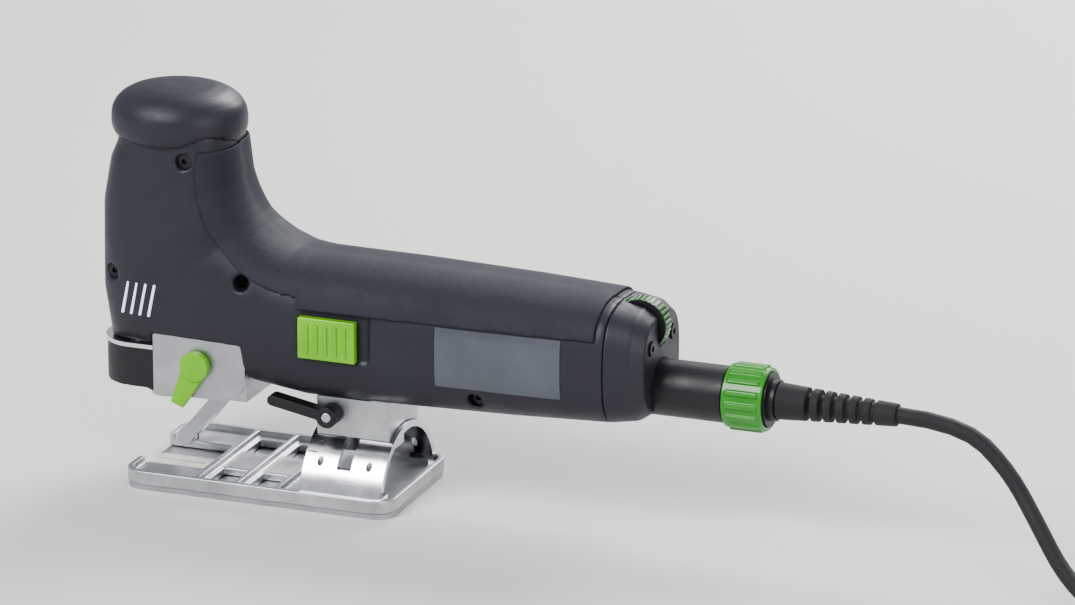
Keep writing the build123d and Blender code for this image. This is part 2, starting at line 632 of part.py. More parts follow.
with BuildPart() as stator_core:
    bar_x(STATOR_RADIUS, STATOR_X, STATOR_X + STATOR_LENGTH)
    bar_x(ROTOR_RADIUS + AIR_GAP, STATOR_X, STATOR_X + STATOR_LENGTH, mode=Mode.SUBTRACT)
write(stator_core.part, "stator_core")

with BuildPart() as field_windings:
    for start in (STATOR_X - END_TURN, STATOR_X + STATOR_LENGTH):
        bar_x(STATOR_RADIUS - 2, start, start + END_TURN)
        bar_x(ROTOR_RADIUS + AIR_GAP, start, start + END_TURN, mode=Mode.SUBTRACT)
write(field_windings.part, "field_windings")

with BuildPart() as motor_bearings:
    for start in (FRONT_BEARING_X, REAR_BEARING_X):
        bar_x(BEARING_RADIUS, start, start + BEARING_WIDTH)
    bar_x(SHAFT_RADIUS + RUNNING, -FAR, FAR, mode=Mode.SUBTRACT)
write(motor_bearings.part, "motor_bearings")

BRUSH_X = (COMMUTATOR_X + 3, COMMUTATOR_X + 3 + BRUSH_WIDTH)
BRUSH_Z = (AXIS_Z - 3, AXIS_Z + 3)
BRUSH_Y = COMMUTATOR_RADIUS + CLEARANCE
BRUSH_END_Y = BRUSH_Y + BRUSH_LENGTH
HOLDER_WALL = 1.2
with BuildPart() as brush_holders:
    for side in (-1, 1):
        block(BRUSH_X, sorted((side * BRUSH_Y, side * BRUSH_END_Y)), BRUSH_Z)
        block((BRUSH_X[0] - HOLDER_WALL, BRUSH_X[1] + HOLDER_WALL),
              sorted((side * (BRUSH_Y + 2), side * BRUSH_END_Y)),
              (BRUSH_Z[0] - HOLDER_WALL, BRUSH_Z[1] + HOLDER_WALL))
write(brush_holders.part, "brush_holders")

# ---------------------------------------------------------------- plunger and blade clamp

with BuildPart() as plunger:
    bar_z(PLUNGER_RADIUS, PLUNGER_BOTTOM_Z, PLUNGER_TOP_Z)
    chamfer(plunger.faces().sort_by(Axis.Z)[-1].edges(), length=1)
write(plunger.part, "plunger")

SLOT_HALF_HEIGHT = CRANK_PIN_RADIUS + 0.2
SLOT_HALF_LENGTH = CRANK_RADIUS + 4.5
YOKE_HALF_LENGTH = CRANK_RADIUS + 8
YOKE_COLLAR = PLUNGER_RADIUS + 3
YOKE_FRONT_X = YOKE_BACK_X - YOKE_THICKNESS
YOKE_Z = (GEAR_Z - YOKE_HEIGHT / 2, GEAR_Z + YOKE_HEIGHT / 2)
with BuildPart() as yoke:
    block((PLUNGER_X - YOKE_COLLAR, YOKE_FRONT_X), (-YOKE_COLLAR, YOKE_COLLAR), YOKE_Z)
    block((YOKE_FRONT_X, YOKE_BACK_X), (-YOKE_HALF_LENGTH, YOKE_HALF_LENGTH), YOKE_Z)
    block((YOKE_FRONT_X + 1, YOKE_BACK_X), (-SLOT_HALF_LENGTH, SLOT_HALF_LENGTH),
          (GEAR_Z - SLOT_HALF_HEIGHT, GEAR_Z + SLOT_HALF_HEIGHT), mode=Mode.SUBTRACT)
    bar_z(PLUNGER_RADIUS, 0, FAR, mode=Mode.SUBTRACT)
write(yoke.part, "yoke")

with BuildPart() as plunger_bushes:
    for start, length in ((LOWER_BUSH_Z, LOWER_BUSH_LENGTH), (UPPER_BUSH_Z, UPPER_BUSH_LENGTH)):
        bar_z(PLUNGER_RADIUS + BUSH_WALL, start, start + length)
    bar_z(PLUNGER_RADIUS + RUNNING, 0, FAR, mode=Mode.SUBTRACT)
write(plunger_bushes.part, "plunger_bushes")

GUIDE_REACH = 13.0
with BuildPart() as upper_guide:
    block((PLUNGER_X - GUIDE_REACH, PLUNGER_X + GUIDE_REACH), (-FAR, FAR),
          (UPPER_BUSH_Z, UPPER_BUSH_Z + UPPER_BUSH_LENGTH))
    add(inner_form, mode=Mode.INTERSECT)
    bar_z(PLUNGER_RADIUS + BUSH_WALL, 0, FAR, mode=Mode.SUBTRACT)
write(upper_guide.part, "upper_guide")

BLADE_SLOT_HALF_LENGTH = 4.0
BLADE_SLOT_DEPTH = 11.0
with BuildPart() as blade_clamp:
    bar_z(CLAMP_RADIUS, CLAMP_BOTTOM_Z, CLAMP_TOP_Z)
    bar_z(PLUNGER_RADIUS, PLUNGER_BOTTOM_Z, CLAMP_TOP_Z, mode=Mode.SUBTRACT)
    block((PLUNGER_X - BLADE_SLOT_HALF_LENGTH, PLUNGER_X + BLADE_SLOT_HALF_LENGTH),
          (-BLADE_SLOT / 2, BLADE_SLOT / 2), (CLAMP_BOTTOM_Z, CLAMP_BOTTOM_Z + BLADE_SLOT_DEPTH),
          mode=Mode.SUBTRACT)
write(blade_clamp.part, "blade_clamp")

TAB_X = (PLUNGER_X - 15, PLUNGER_X - 9)
TAB_HALF_WIDTH = 2.5
with BuildPart() as clamp_sleeve:
    bar_z(CLAMP_RADIUS + RUNNING + SLEEVE_WALL, SLEEVE_BOTTOM_Z, SLEEVE_TOP_Z)
    block(TAB_X, (-TAB_HALF_WIDTH, TAB_HALF_WIDTH), (SLEEVE_BOTTOM_Z, SLEEVE_TOP_Z))
    bar_z(CLAMP_RADIUS + RUNNING, SLEEVE_BOTTOM_Z, SLEEVE_TOP_Z, mode=Mode.SUBTRACT)
write(clamp_sleeve.part, "clamp_sleeve")

# ---------------------------------------------------------------- pendulum

ARM_INNER_Y = ROLLER_WIDTH / 2 + CLEARANCE
ARM_HALF_HEIGHT = 3.2
FORK_HUB_RADIUS = 5.0
FORK_HUB_HALF_LENGTH = CASE_HALF_WIDTH - CASE_WALL - 0.5
with BuildPart() as pendulum_fork:
    arm = Vector(*ROLLER_CENTRE) - Vector(*FORK_PIVOT)
    middle = (Vector(*ROLLER_CENTRE) + Vector(*FORK_PIVOT)) * 0.5
    tilt = Vector(1, 0, 0).get_signed_angle(Vector(arm.X, arm.Y, 0), Vector(0, 0, 1))
    with BuildSketch(Plane.XZ.offset(-FORK_HALF_WIDTH)):
        with Locations(Location((middle.X, middle.Y), tilt)):
            SlotOverall(arm.length + 2 * ARM_HALF_HEIGHT, 2 * ARM_HALF_HEIGHT)
    extrude(amount=2 * FORK_HALF_WIDTH)
    bar_y(FORK_HUB_RADIUS, -FORK_HUB_HALF_LENGTH, FORK_HUB_HALF_LENGTH, *FORK_PIVOT)
    bar_y(ROLLER_RADIUS + 1.5, -ARM_INNER_Y, ARM_INNER_Y, *ROLLER_CENTRE, mode=Mode.SUBTRACT)
    bar_y(FORK_PIN_RADIUS + RUNNING, -FAR, FAR, *FORK_PIVOT, mode=Mode.SUBTRACT)
    bar_y(ROLLER_PIN_RADIUS, -FAR, FAR, *ROLLER_CENTRE, mode=Mode.SUBTRACT)
write(pendulum_fork.part, "pendulum_fork")

with BuildPart() as fork_pin:
    bar_y(FORK_PIN_RADIUS, -CASE_HALF_WIDTH, CASE_HALF_WIDTH, *FORK_PIVOT)
write(fork_pin.part, "fork_pin")

GROOVE_WIDTH = 1.6
GROOVE_DEPTH = 1.2
with BuildPart() as guide_roller:
    bar_y(ROLLER_RADIUS, -ROLLER_WIDTH / 2, ROLLER_WIDTH / 2, *ROLLER_CENTRE)
    with BuildSketch(Plane.XZ.offset(-GROOVE_WIDTH / 2)):
        with Locations(ROLLER_CENTRE):
            Circle(ROLLER_RADIUS)
            Circle(ROLLER_RADIUS - GROOVE_DEPTH, mode=Mode.SUBTRACT)
    extrude(amount=GROOVE_WIDTH, mode=Mode.SUBTRACT)
    bar_y(ROLLER_PIN_RADIUS + RUNNING, -FAR, FAR, *ROLLER_CENTRE, mode=Mode.SUBTRACT)
write(guide_roller.part, "guide_roller")

with BuildPart() as roller_pin:
    bar_y(ROLLER_PIN_RADIUS, -FORK_HALF_WIDTH, FORK_HALF_WIDTH, *ROLLER_CENTRE)
write(roller_pin.part, "roller_pin")

SELECTOR_FACE_Y = -CASE_HALF_WIDTH - PLATE_THICKNESS - 0.2
SELECTOR_HUB_RADIUS = 7.0
SELECTOR_HUB_HEIGHT = 4.0
SELECTOR_THICKNESS = 3.4
with BuildPart() as selector_lever:
    bar_y(SELECTOR_HUB_RADIUS, SELECTOR_FACE_Y - SELECTOR_HUB_HEIGHT, SELECTOR_FACE_Y, *SELECTOR_CENTRE)
    with BuildSketch(Plane.XZ.offset(-SELECTOR_FACE_Y)):
        with BuildLine():
            Polyline((SELECTOR_CENTRE[0] - 6, SELECTOR_CENTRE[1]), (SELECTOR_TIP[0] - 3, SELECTOR_TIP[1] + 1),
                     (SELECTOR_TIP[0] + 3, SELECTOR_TIP[1] - 1.5),
                     (SELECTOR_CENTRE[0] + 6, SELECTOR_CENTRE[1] - 3), close=True)
        make_face()
    extrude(amount=SELECTOR_THICKNESS)
    bar_y(SELECTOR_SHAFT_RADIUS, SELECTOR_FACE_Y, -CASE_HALF_WIDTH + CASE_WALL + 1, *SELECTOR_CENTRE)
write(selector_lever.part, "selector_lever")

# ---------------------------------------------------------------- base and tilt clamp

BASE_X = (BASE_FRONT_X + BASE_REAR_X) / 2
BASE_LENGTH = BASE_REAR_X - BASE_FRONT_X


def base_layer(bottom, height, inset, mode=Mode.ADD):
    """Layer with the base's rounded outline, drawn in by the inset."""
    with BuildSketch(Plane.XY.offset(bottom)) as profile:
        with Locations((BASE_X, 0)):
            RectangleRounded(BASE_LENGTH - 2 * inset, 2 * (BASE_HALF_WIDTH - inset), BASE_CORNER - inset)
    extrude(profile.sketch, amount=height, mode=mode)


RIBS_X = (-22.0, -2.0, 18.0)
RIB_THICKNESS = 2.5
OPENINGS_X = ((-17.0, -4.5), (3.0, 15.5))
OPENING_Y = (12.0, 30.0)
BASE_SLOT_X = (BASE_FRONT_X, SLOT_REAR_X)
with BuildPart() as base_plate:
    base_layer(SOLE_THICKNESS, BASE_THICKNESS + RIM_HEIGHT, 0)
    base_layer(BASE_TOP_Z, RIM_HEIGHT, RIM_WIDTH, mode=Mode.SUBTRACT)
    for rib_x in RIBS_X:
        block((rib_x, rib_x + RIB_THICKNESS), (-BASE_HALF_WIDTH + 1, BASE_HALF_WIDTH - 1),
              (BASE_TOP_Z, BASE_TOP_Z + RIM_HEIGHT))
    block(BASE_SLOT_X, (-BASE_SLOT_HALF_WIDTH, BASE_SLOT_HALF_WIDTH), (0, FAR), mode=Mode.SUBTRACT)
    for opening_x in OPENINGS_X:
        for side in (-1, 1):
            block(opening_x, sorted((side * OPENING_Y[0], side * OPENING_Y[1])), (0, FAR), mode=Mode.SUBTRACT)
write(base_plate.part, "base_plate")

with BuildPart() as running_sole:
    base_layer(0, SOLE_THICKNESS, 0.5)
    block(BASE_SLOT_X, (-SOLE_SLOT_HALF_WIDTH, SOLE_SLOT_HALF_WIDTH), (0, FAR), mode=Mode.SUBTRACT)
write(running_sole.part, "running_sole")

BLADE_GAP_HALF_WIDTH = 1.3
with BuildPart() as splinter_guard:
    block((BASE_FRONT_X + 2, SLOT_REAR_X), (-SOLE_SLOT_HALF_WIDTH, SOLE_SLOT_HALF_WIDTH), (0, SOLE_THICKNESS))
    block((BASE_FRONT_X, SLOT_REAR_X - 6), (-BLADE_GAP_HALF_WIDTH, BLADE_GAP_HALF_WIDTH), (0, FAR),
          mode=Mode.SUBTRACT)
write(splinter_guard.part, "splinter_guard")

CLAMP_X = (QUADRANT_FRONT_X + QUADRANT_REAR_X) / 2
QUADRANT_SLOT_X = (CLAMP_X - 3.5, CLAMP_X + 3.5)
FOOT_INNER_Y = QUADRANT_RADIUS - QUADRANT_WALL - 7
FOOT_WIDTH = 7.2
FOOT_THICKNESS = 2.5
FOOT_SCREW_RADIUS = 1.5
FOOT_SCREW_HEAD_RADIUS = 2.4
FOOT_SCREW_HEAD_HEIGHT = 1.2
FOOT_SCREW_Y = FOOT_INNER_Y + 2.5
FOOT_SCREWS_X = (QUADRANT_FRONT_X + 8, QUADRANT_REAR_X - 8)
FOOT_TOP_Z = BASE_TOP_Z + FOOT_THICKNESS
SLOT_SIDE_Z = QUADRANT_RADIUS * cos(radians(TILT_LIMIT + 12))
with BuildPart() as tilt_quadrant:
    bar_x(QUADRANT_RADIUS, QUADRANT_FRONT_X, QUADRANT_REAR_X, z=0)
    bar_x(QUADRANT_RADIUS - QUADRANT_WALL, QUADRANT_FRONT_X, QUADRANT_REAR_X, z=0, mode=Mode.SUBTRACT)
    block((-FAR, FAR), (-FAR, FAR), (BASE_TOP_Z, FAR), mode=Mode.INTERSECT)
    block(QUADRANT_SLOT_X, (-FAR, FAR), (SLOT_SIDE_Z, FAR), mode=Mode.SUBTRACT)
    for side in (-1, 1):
        block((QUADRANT_FRONT_X, QUADRANT_REAR_X),
              sorted((side * FOOT_INNER_Y, side * (FOOT_INNER_Y + FOOT_WIDTH))), (BASE_TOP_Z, FOOT_TOP_Z))
        for screw_x in FOOT_SCREWS_X:
            bar_z(FOOT_SCREW_RADIUS, 0, FAR, x=screw_x, y=side * FOOT_SCREW_Y, mode=Mode.SUBTRACT)
write(tilt_quadrant.part, "tilt_quadrant")

with BuildPart() as quadrant_screws:
    for side in (-1, 1):
        for screw_x in FOOT_SCREWS_X:
            bar_z(FOOT_SCREW_RADIUS, BASE_TOP_Z, FOOT_TOP_Z, x=screw_x, y=side * FOOT_SCREW_Y)
            bar_z(FOOT_SCREW_HEAD_RADIUS, FOOT_TOP_Z, FOOT_TOP_Z + FOOT_SCREW_HEAD_HEIGHT, x=screw_x,
                  y=side * FOOT_SCREW_Y)
write(quadrant_screws.part, "quadrant_screws")

SADDLE_X = (QUADRANT_FRONT_X + 2, QUADRANT_REAR_X - 2)
SADDLE_HALF_WIDTH = 17.0
SADDLE_Z = (30.0, 60.0)
LEVER_HUB_RADIUS = 5.0
LEVER_OUTER_Y = -26.0
CLAMP_BLOCK_HALF_WIDTH = 10.0
CLAMP_BLOCK_Z = 22.0
CLAMP_SCREW_TOP_Z = 46.0
CLAMP_HEAD_RADIUS = 5.0
CLAMP_HEAD_HEIGHT = 4.0
with BuildPart() as saddle:
    block(SADDLE_X, (-SADDLE_HALF_WIDTH, SADDLE_HALF_WIDTH), SADDLE_Z)
    bar_x(QUADRANT_RADIUS + CLEARANCE, 0, FAR, z=0, mode=Mode.SUBTRACT)
    add(outer_form, mode=Mode.SUBTRACT)
    bar_z(CLAMP_SCREW_RADIUS, 0, FAR, x=CLAMP_X, mode=Mode.SUBTRACT)
    bar_y(LEVER_PIN_RADIUS, LEVER_OUTER_Y, -SADDLE_HALF_WIDTH / 2, *LEVER_HUB)
write(saddle.part, "saddle")

with BuildPart() as clamp_block:
    bar_x(QUADRANT_RADIUS - QUADRANT_WALL - CLEARANCE, QUADRANT_FRONT_X + 6, QUADRANT_REAR_X - 6, z=0)
    block((-FAR, FAR), (-CLAMP_BLOCK_HALF_WIDTH, CLAMP_BLOCK_HALF_WIDTH), (CLAMP_BLOCK_Z, FAR),
          mode=Mode.INTERSECT)
    bar_z(CLAMP_SCREW_RADIUS, 0, FAR, x=CLAMP_X, mode=Mode.SUBTRACT)
write(clamp_block.part, "clamp_block")

with BuildPart() as clamp_screw:
    bar_z(CLAMP_SCREW_RADIUS, CLAMP_BLOCK_Z, CLAMP_SCREW_TOP_Z, x=CLAMP_X)
    bar_z(CLAMP_HEAD_RADIUS, CLAMP_BLOCK_Z - CLAMP_HEAD_HEIGHT, CLAMP_BLOCK_Z, x=CLAMP_X)
write(clamp_screw.part, "clamp_screw")

LEVER_WIDTH = 5.0
LEVER_THICKNESS = 7.0
with BuildPart() as tilt_lever:
    arm = Vector(*LEVER_TIP) - Vector(*LEVER_HUB)
    middle = (Vector(*LEVER_TIP) + Vector(*LEVER_HUB)) * 0.5
    tilt = Vector(1, 0, 0).get_signed_angle(Vector(arm.X, arm.Y, 0), Vector(0, 0, 1))
    with BuildSketch(Plane.XZ.offset(SADDLE_HALF_WIDTH + 1.5)):
        with Locations(Location((middle.X, middle.Y), tilt)):
            SlotOverall(arm.length + LEVER_WIDTH, LEVER_WIDTH)
    extrude(amount=LEVER_THICKNESS)
    bar_y(LEVER_HUB_RADIUS, LEVER_OUTER_Y, -SADDLE_HALF_WIDTH - CLEARANCE, *LEVER_HUB)
    bar_y(LEVER_PIN_RADIUS + RUNNING, -FAR, FAR, *LEVER_HUB, mode=Mode.SUBTRACT)
write(tilt_lever.part, "tilt_lever")

# ---------------------------------------------------------------- switch, dial and electronics

with BuildPart() as switch_sliders:
    add(housing_form(-SWITCH_PROUD))
    block(SWITCH_X, (-FAR, FAR), SWITCH_Z, mode=Mode.INTERSECT)
    add(housing_form(SWITCH_RECESS - CLEARANCE), mode=Mode.SUBTRACT)
write(switch_sliders.part, "switch_sliders")

POT_DEPTH = 7.0
with BuildPart() as speed_dial:
    bar_y(DIAL_RADIUS, -DIAL_HALF_WIDTH, DIAL_HALF_WIDTH, *DIAL_CENTRE)
    bar_y(DIAL_SHAFT_RADIUS, DIAL_HALF_WIDTH, DIAL_HALF_WIDTH + POT_DEPTH + 2, *DIAL_CENTRE)
write(speed_dial.part, "speed_dial")

with BuildPart() as speed_pot:
    block((DIAL_CENTRE[0] - 6, DIAL_CENTRE[0] + 4),
          (DIAL_HALF_WIDTH + DIAL_GAP + CLEARANCE, DIAL_HALF_WIDTH + POT_DEPTH),
          (DIAL_CENTRE[1] - 5, DIAL_CENTRE[1] + 4))
    bar_y(DIAL_SHAFT_RADIUS + RUNNING, -FAR, FAR, *DIAL_CENTRE, mode=Mode.SUBTRACT)
write(speed_pot.part, "speed_pot")

MODULE_X = (134.0, 158.0)
MODULE_HALF_WIDTH = 9.0
MODULE_Z = (62.0, 84.0)
BOARD_X = (134.0, 172.0)
BOARD_HALF_WIDTH = 20.0
BOARD_Z = 86.0
BOARD_THICKNESS = 2.0
BOARD_TOP_Z = BOARD_Z + BOARD_THICKNESS
BOARD_PARTS = [((138.0, 150.0), (-16.0, -4.0), 8.0), ((154.0, 166.0), (-4.0, 10.0), 5.0)]
with BuildPart() as switch_module:
    block(MODULE_X, (-MODULE_HALF_WIDTH, MODULE_HALF_WIDTH), MODULE_Z)
write(switch_module.part, "switch_module")

with BuildPart() as control_board:
    block(BOARD_X, (-BOARD_HALF_WIDTH, BOARD_HALF_WIDTH), (BOARD_Z, BOARD_TOP_Z))
    for part_x, part_y, height in BOARD_PARTS:
        block(part_x, part_y, (BOARD_TOP_Z, BOARD_TOP_Z + height))
write(control_board.part, "control_board")

# ---------------------------------------------------------------- inlet and lead

PIN_RADIUS = 1.5
PIN_SPACING = 9.0
INLET_WALL = 2.0
CONNECTOR_RADIUS = INLET_RADIUS - 0.5
NECK_RING_RADIUS = 9.5
NECK_RING_LENGTH = 3.0
RING_RIBS = 16
RING_RIB_HEIGHT = 2.0
RING_RIB_WIDTH = 2.4
BOOT_START_X = RING_REAR_X + NECK_RING_LENGTH
BOOT_START_RADIUS = 8.5
BOOT_END_RADIUS = 5.2
BOOT_GROOVES = 6
BOOT_GROOVE_PITCH = 6.0
BOOT_GROOVE_WIDTH = 2.4
BOOT_CORE_RADIUS = 4.6
BOOT_PLAIN_LENGTH = 14.0
with BuildPart() as mains_inlet:
    bar_x(INLET_RADIUS, REAR_SPLIT_X - 2, INLET_REAR_X, z=INLET_Z)
    bar_x(INLET_RADIUS - INLET_WALL, REAR_SPLIT_X + 4, INLET_REAR_X, z=INLET_Z, mode=Mode.SUBTRACT)
    for side in (-1, 1):
        bar_x(PIN_RADIUS, 0, FAR, y=side * PIN_SPACING / 2, z=INLET_Z, mode=Mode.SUBTRACT)
write(mains_inlet.part, "mains_inlet")

with BuildPart() as inlet_pins:
    for side in (-1, 1):
        bar_x(PIN_RADIUS, REAR_SPLIT_X - 8, REAR_SPLIT_X + 34, y=side * PIN_SPACING / 2, z=INLET_Z)
write(inlet_pins.part, "inlet_pins")

with BuildPart() as lead_connector:
    bar_x(INLET_RADIUS - INLET_WALL - 2 * RUNNING, REAR_SPLIT_X + 18, INLET_REAR_X, z=INLET_Z)
    bar_x(CONNECTOR_RADIUS, INLET_REAR_X, RING_REAR_X, z=INLET_Z)
    bar_x(NECK_RING_RADIUS, RING_REAR_X, BOOT_START_X, z=INLET_Z)
    for side in (-1, 1):
        bar_x(PIN_RADIUS + 0.1, 0, REAR_SPLIT_X + 36, y=side * PIN_SPACING / 2, z=INLET_Z, mode=Mode.SUBTRACT)
write(lead_connector.part, "lead_connector")

with BuildPart() as lock_ring:
    bar_x(RING_RADIUS - 1, INLET_REAR_X + 1, RING_REAR_X - 1, z=INLET_Z)
    with BuildSketch(Plane.YZ.offset(INLET_REAR_X + 3)):
        with Locations((0, INLET_Z)):
            with PolarLocations(RING_RADIUS - 1, RING_RIBS):
                Rectangle(RING_RIB_HEIGHT, RING_RIB_WIDTH)
    extrude(amount=RING_REAR_X - INLET_REAR_X - 6)
    bar_x(CONNECTOR_RADIUS + RUNNING, 0, FAR, z=INLET_Z, mode=Mode.SUBTRACT)
write(lock_ring.part, "lock_ring")

with BuildPart() as cord_boot:
    with BuildSketch(Plane.XZ):
        with BuildLine():
            Polyline((BOOT_START_X, INLET_Z), (BOOT_START_X, INLET_Z + BOOT_START_RADIUS),
                     (BOOT_REAR_X, INLET_Z + BOOT_END_RADIUS), (BOOT_REAR_X, INLET_Z), close=True)
        make_face()
    revolve(axis=Axis((0, 0, INLET_Z), (1, 0, 0)))
    for groove in range(BOOT_GROOVES):
        start = BOOT_START_X + BOOT_PLAIN_LENGTH + BOOT_GROOVE_PITCH * groove
        bar_x(2 * BOOT_START_RADIUS, start, start + BOOT_GROOVE_WIDTH, z=INLET_Z, mode=Mode.SUBTRACT)
        bar_x(BOOT_CORE_RADIUS, start, start + BOOT_GROOVE_WIDTH, z=INLET_Z)
write(cord_boot.part, "cord_boot")

# ---------------------------------------------------------------- cord and mains plug

BEND_SHARE = 0.45
HANK_CENTRE = (505.0, -30.0)
HANK_STRAIGHT = 96.0
HANK_BUNDLE = 2 * CORD_DIAMETER
HANK_FOLD_RADIUS = 3 * CORD_DIAMETER
HANK_WIDTH = 2 * (HANK_FOLD_RADIUS - CORD_RADIUS + HANK_BUNDLE)
HANK_LENGTH = HANK_STRAIGHT + HANK_WIDTH
HANK_HEIGHT = 6 * CORD_DIAMETER
PLUG_AXIS = (26.0, 17.5)
PLUG_FRONT_X = 481.0
PLUG_REAR_X = 523.0
PLUG_RADIUS = 17.5
PLUG_RELIEF_X = 545.0
PLUG_GRIP_LENGTH = 26.0
PLUG_NECK_RADIUS = 7.5
RELIEF_RADII = (7.0, 5.2)
PLUG_PIN_RADIUS = 2.4
PLUG_PIN_LENGTH = 19.0
PLUG_PIN_SPACING = 19.0

LEAD_POINTS = [(306, 0, 68), (336, 0, 68), (360, -8, 52), (377, -19, 33), (394, -33, 15), (417, -48, 4.6),
               (445, -58, 3.8), (475, -60.4, 3.8)]
TAIL_POINTS = [(530, -59, 41.6), (560, -57.5, 42.5), (590, -48, 40), (610, -27, 34), (614, 0, 26),
               (600, 20, 20), (575, 26, 17.5), (545, 26, 17.5)]


def corner_radii(points):
    """Radius of each bend: a set share of the shorter run over the tangent of half the turn."""
    radii = []
    for before, corner, after in zip(points, points[1:], points[2:]):
        run_in = Vector(*corner) - Vector(*before)
        run_out = Vector(*after) - Vector(*corner)
        turn = radians(run_in.get_angle(run_out))
        radii.append(BEND_SHARE * min(run_in.length, run_out.length) / tan(turn / 2))
    return radii


for name, points in (("cord_lead", LEAD_POINTS), ("cord_tail", TAIL_POINTS)):
    bends = corner_radii(points)
    with BuildPart() as cord:
        with BuildLine():
            path = FilletPolyline(*points, radius=bends)
        with BuildSketch(Plane(path @ 0, z_dir=path % 0)):
            Circle(CORD_RADIUS)
        sweep()
    full_volume = pi * CORD_RADIUS ** 2 * path.length
    print(name, "length", round(path.length, 1), "radii", [round(bend) for bend in bends],
          "volume share", round(cord.part.volume / full_volume, 4))
    write(cord.part, name)

with BuildPart() as cord_hank:
    with BuildSketch(Plane.XY):
        with Locations(HANK_CENTRE):
            SlotOverall(HANK_LENGTH, HANK_WIDTH)
            SlotOverall(HANK_LENGTH - 2 * HANK_BUNDLE, HANK_WIDTH - 2 * HANK_BUNDLE, mode=Mode.SUBTRACT)
    extrude(amount=HANK_HEIGHT)
write(cord_hank.part, "cord_hank")

with BuildPart() as mains_plug:
    bar_x(PLUG_RADIUS, PLUG_FRONT_X, PLUG_FRONT_X + PLUG_GRIP_LENGTH, y=PLUG_AXIS[0], z=PLUG_AXIS[1])
    with BuildSketch(Plane.YZ.offset(PLUG_FRONT_X + PLUG_GRIP_LENGTH)):
        with Locations(PLUG_AXIS):
            Circle(PLUG_RADIUS)
    with BuildSketch(Plane.YZ.offset(PLUG_REAR_X)):
        with Locations(PLUG_AXIS):
            Circle(PLUG_NECK_RADIUS)
    loft()
    with BuildSketch(Plane.YZ.offset(PLUG_REAR_X)):
        with Locations(PLUG_AXIS):
            Circle(RELIEF_RADII[0])
    with BuildSketch(Plane.YZ.offset(PLUG_RELIEF_X)):
        with Locations(PLUG_AXIS):
            Circle(RELIEF_RADII[1])
    loft()
write(mains_plug.part, "mains_plug")

with BuildPart() as plug_pins:
    for side in (-1, 1):
        bar_x(PLUG_PIN_RADIUS, PLUG_FRONT_X - PLUG_PIN_LENGTH, PLUG_FRONT_X,
              y=PLUG_AXIS[0] + side * PLUG_PIN_SPACING / 2, z=PLUG_AXIS[1])
write(plug_pins.part, "plug_pins")
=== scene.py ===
# %% [markdown]
# A corded jigsaw, dressed in Blender
#
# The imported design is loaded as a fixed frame: every node keeps its place, and this lesson gives
# each one its finish, remakes the moulded skins with softened edges, and lays the mains lead as one
# smooth curve. All lengths are metres, the saw cuts towards -X and +Z is up.

# %% Load the frame
import json
import math

import bmesh
import bpy
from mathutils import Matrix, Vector

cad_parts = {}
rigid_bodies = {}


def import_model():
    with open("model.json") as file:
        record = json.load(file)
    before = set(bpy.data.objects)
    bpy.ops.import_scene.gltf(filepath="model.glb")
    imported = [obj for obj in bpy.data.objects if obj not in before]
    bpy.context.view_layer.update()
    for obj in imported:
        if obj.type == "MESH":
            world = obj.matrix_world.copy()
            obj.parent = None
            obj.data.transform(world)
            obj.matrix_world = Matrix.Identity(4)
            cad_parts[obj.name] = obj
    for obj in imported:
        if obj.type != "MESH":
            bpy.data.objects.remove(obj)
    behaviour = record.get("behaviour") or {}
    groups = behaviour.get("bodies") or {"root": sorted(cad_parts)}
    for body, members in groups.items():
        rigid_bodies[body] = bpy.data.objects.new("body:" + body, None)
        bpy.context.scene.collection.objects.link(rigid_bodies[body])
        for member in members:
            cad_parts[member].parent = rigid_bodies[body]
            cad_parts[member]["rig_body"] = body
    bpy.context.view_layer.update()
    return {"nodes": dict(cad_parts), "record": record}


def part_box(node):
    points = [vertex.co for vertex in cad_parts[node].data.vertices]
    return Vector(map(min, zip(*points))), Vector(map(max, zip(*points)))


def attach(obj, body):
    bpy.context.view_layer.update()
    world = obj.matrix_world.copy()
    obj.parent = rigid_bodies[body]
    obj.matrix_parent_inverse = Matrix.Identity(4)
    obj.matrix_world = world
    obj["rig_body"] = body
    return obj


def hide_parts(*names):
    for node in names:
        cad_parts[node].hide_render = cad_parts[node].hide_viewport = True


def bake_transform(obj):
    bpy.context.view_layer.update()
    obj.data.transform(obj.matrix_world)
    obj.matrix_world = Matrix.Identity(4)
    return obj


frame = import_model()
nodes = frame["nodes"]
MM = 0.001
print("nodes loaded:", len(nodes))

# %% [markdown]
# The camera comes first. It looks at the left flank from a little behind and above, from about
# three metres away with a long lens, so that the barrel keeps its true proportions.

# %% Camera
AZIMUTH = math.radians(21)
ELEVATION = math.radians(18)
CAMERA_DISTANCE = 3.0
FIELD_WIDTH = 0.50
SENSOR_WIDTH = 36
AIM_RIGHT = 0.125
AIM_UP = 0.081
FARTHEST_SEEN = 20

backwards = Vector((math.sin(AZIMUTH) * math.cos(ELEVATION), -math.cos(AZIMUTH) * math.cos(ELEVATION),
                    math.sin(ELEVATION)))
right = Vector((math.cos(AZIMUTH), math.sin(AZIMUTH), 0))
upward = backwards.cross(right)
aim = right * AIM_RIGHT + upward * AIM_UP
camera_data = bpy.data.cameras.new("camera")
camera_data.lens = SENSOR_WIDTH * CAMERA_DISTANCE / FIELD_WIDTH
camera_data.clip_end = FARTHEST_SEEN
camera = bpy.data.objects.new("camera", camera_data)
camera.location = aim + backwards * CAMERA_DISTANCE
camera.rotation_euler = backwards.to_track_quat("Z", "Y").to_euler()
bpy.context.scene.collection.objects.link(camera)
bpy.context.scene.camera = camera
print("lens in millimetres:", round(camera_data.lens, 1))

# %% [markdown]
# Shader maths reads best as ordinary expressions. A small class wraps one socket, and its plus sign
# adds a Math node, whichever side the number stands on. Every other node comes from one method, and
# numbers alone are worked out in Python.

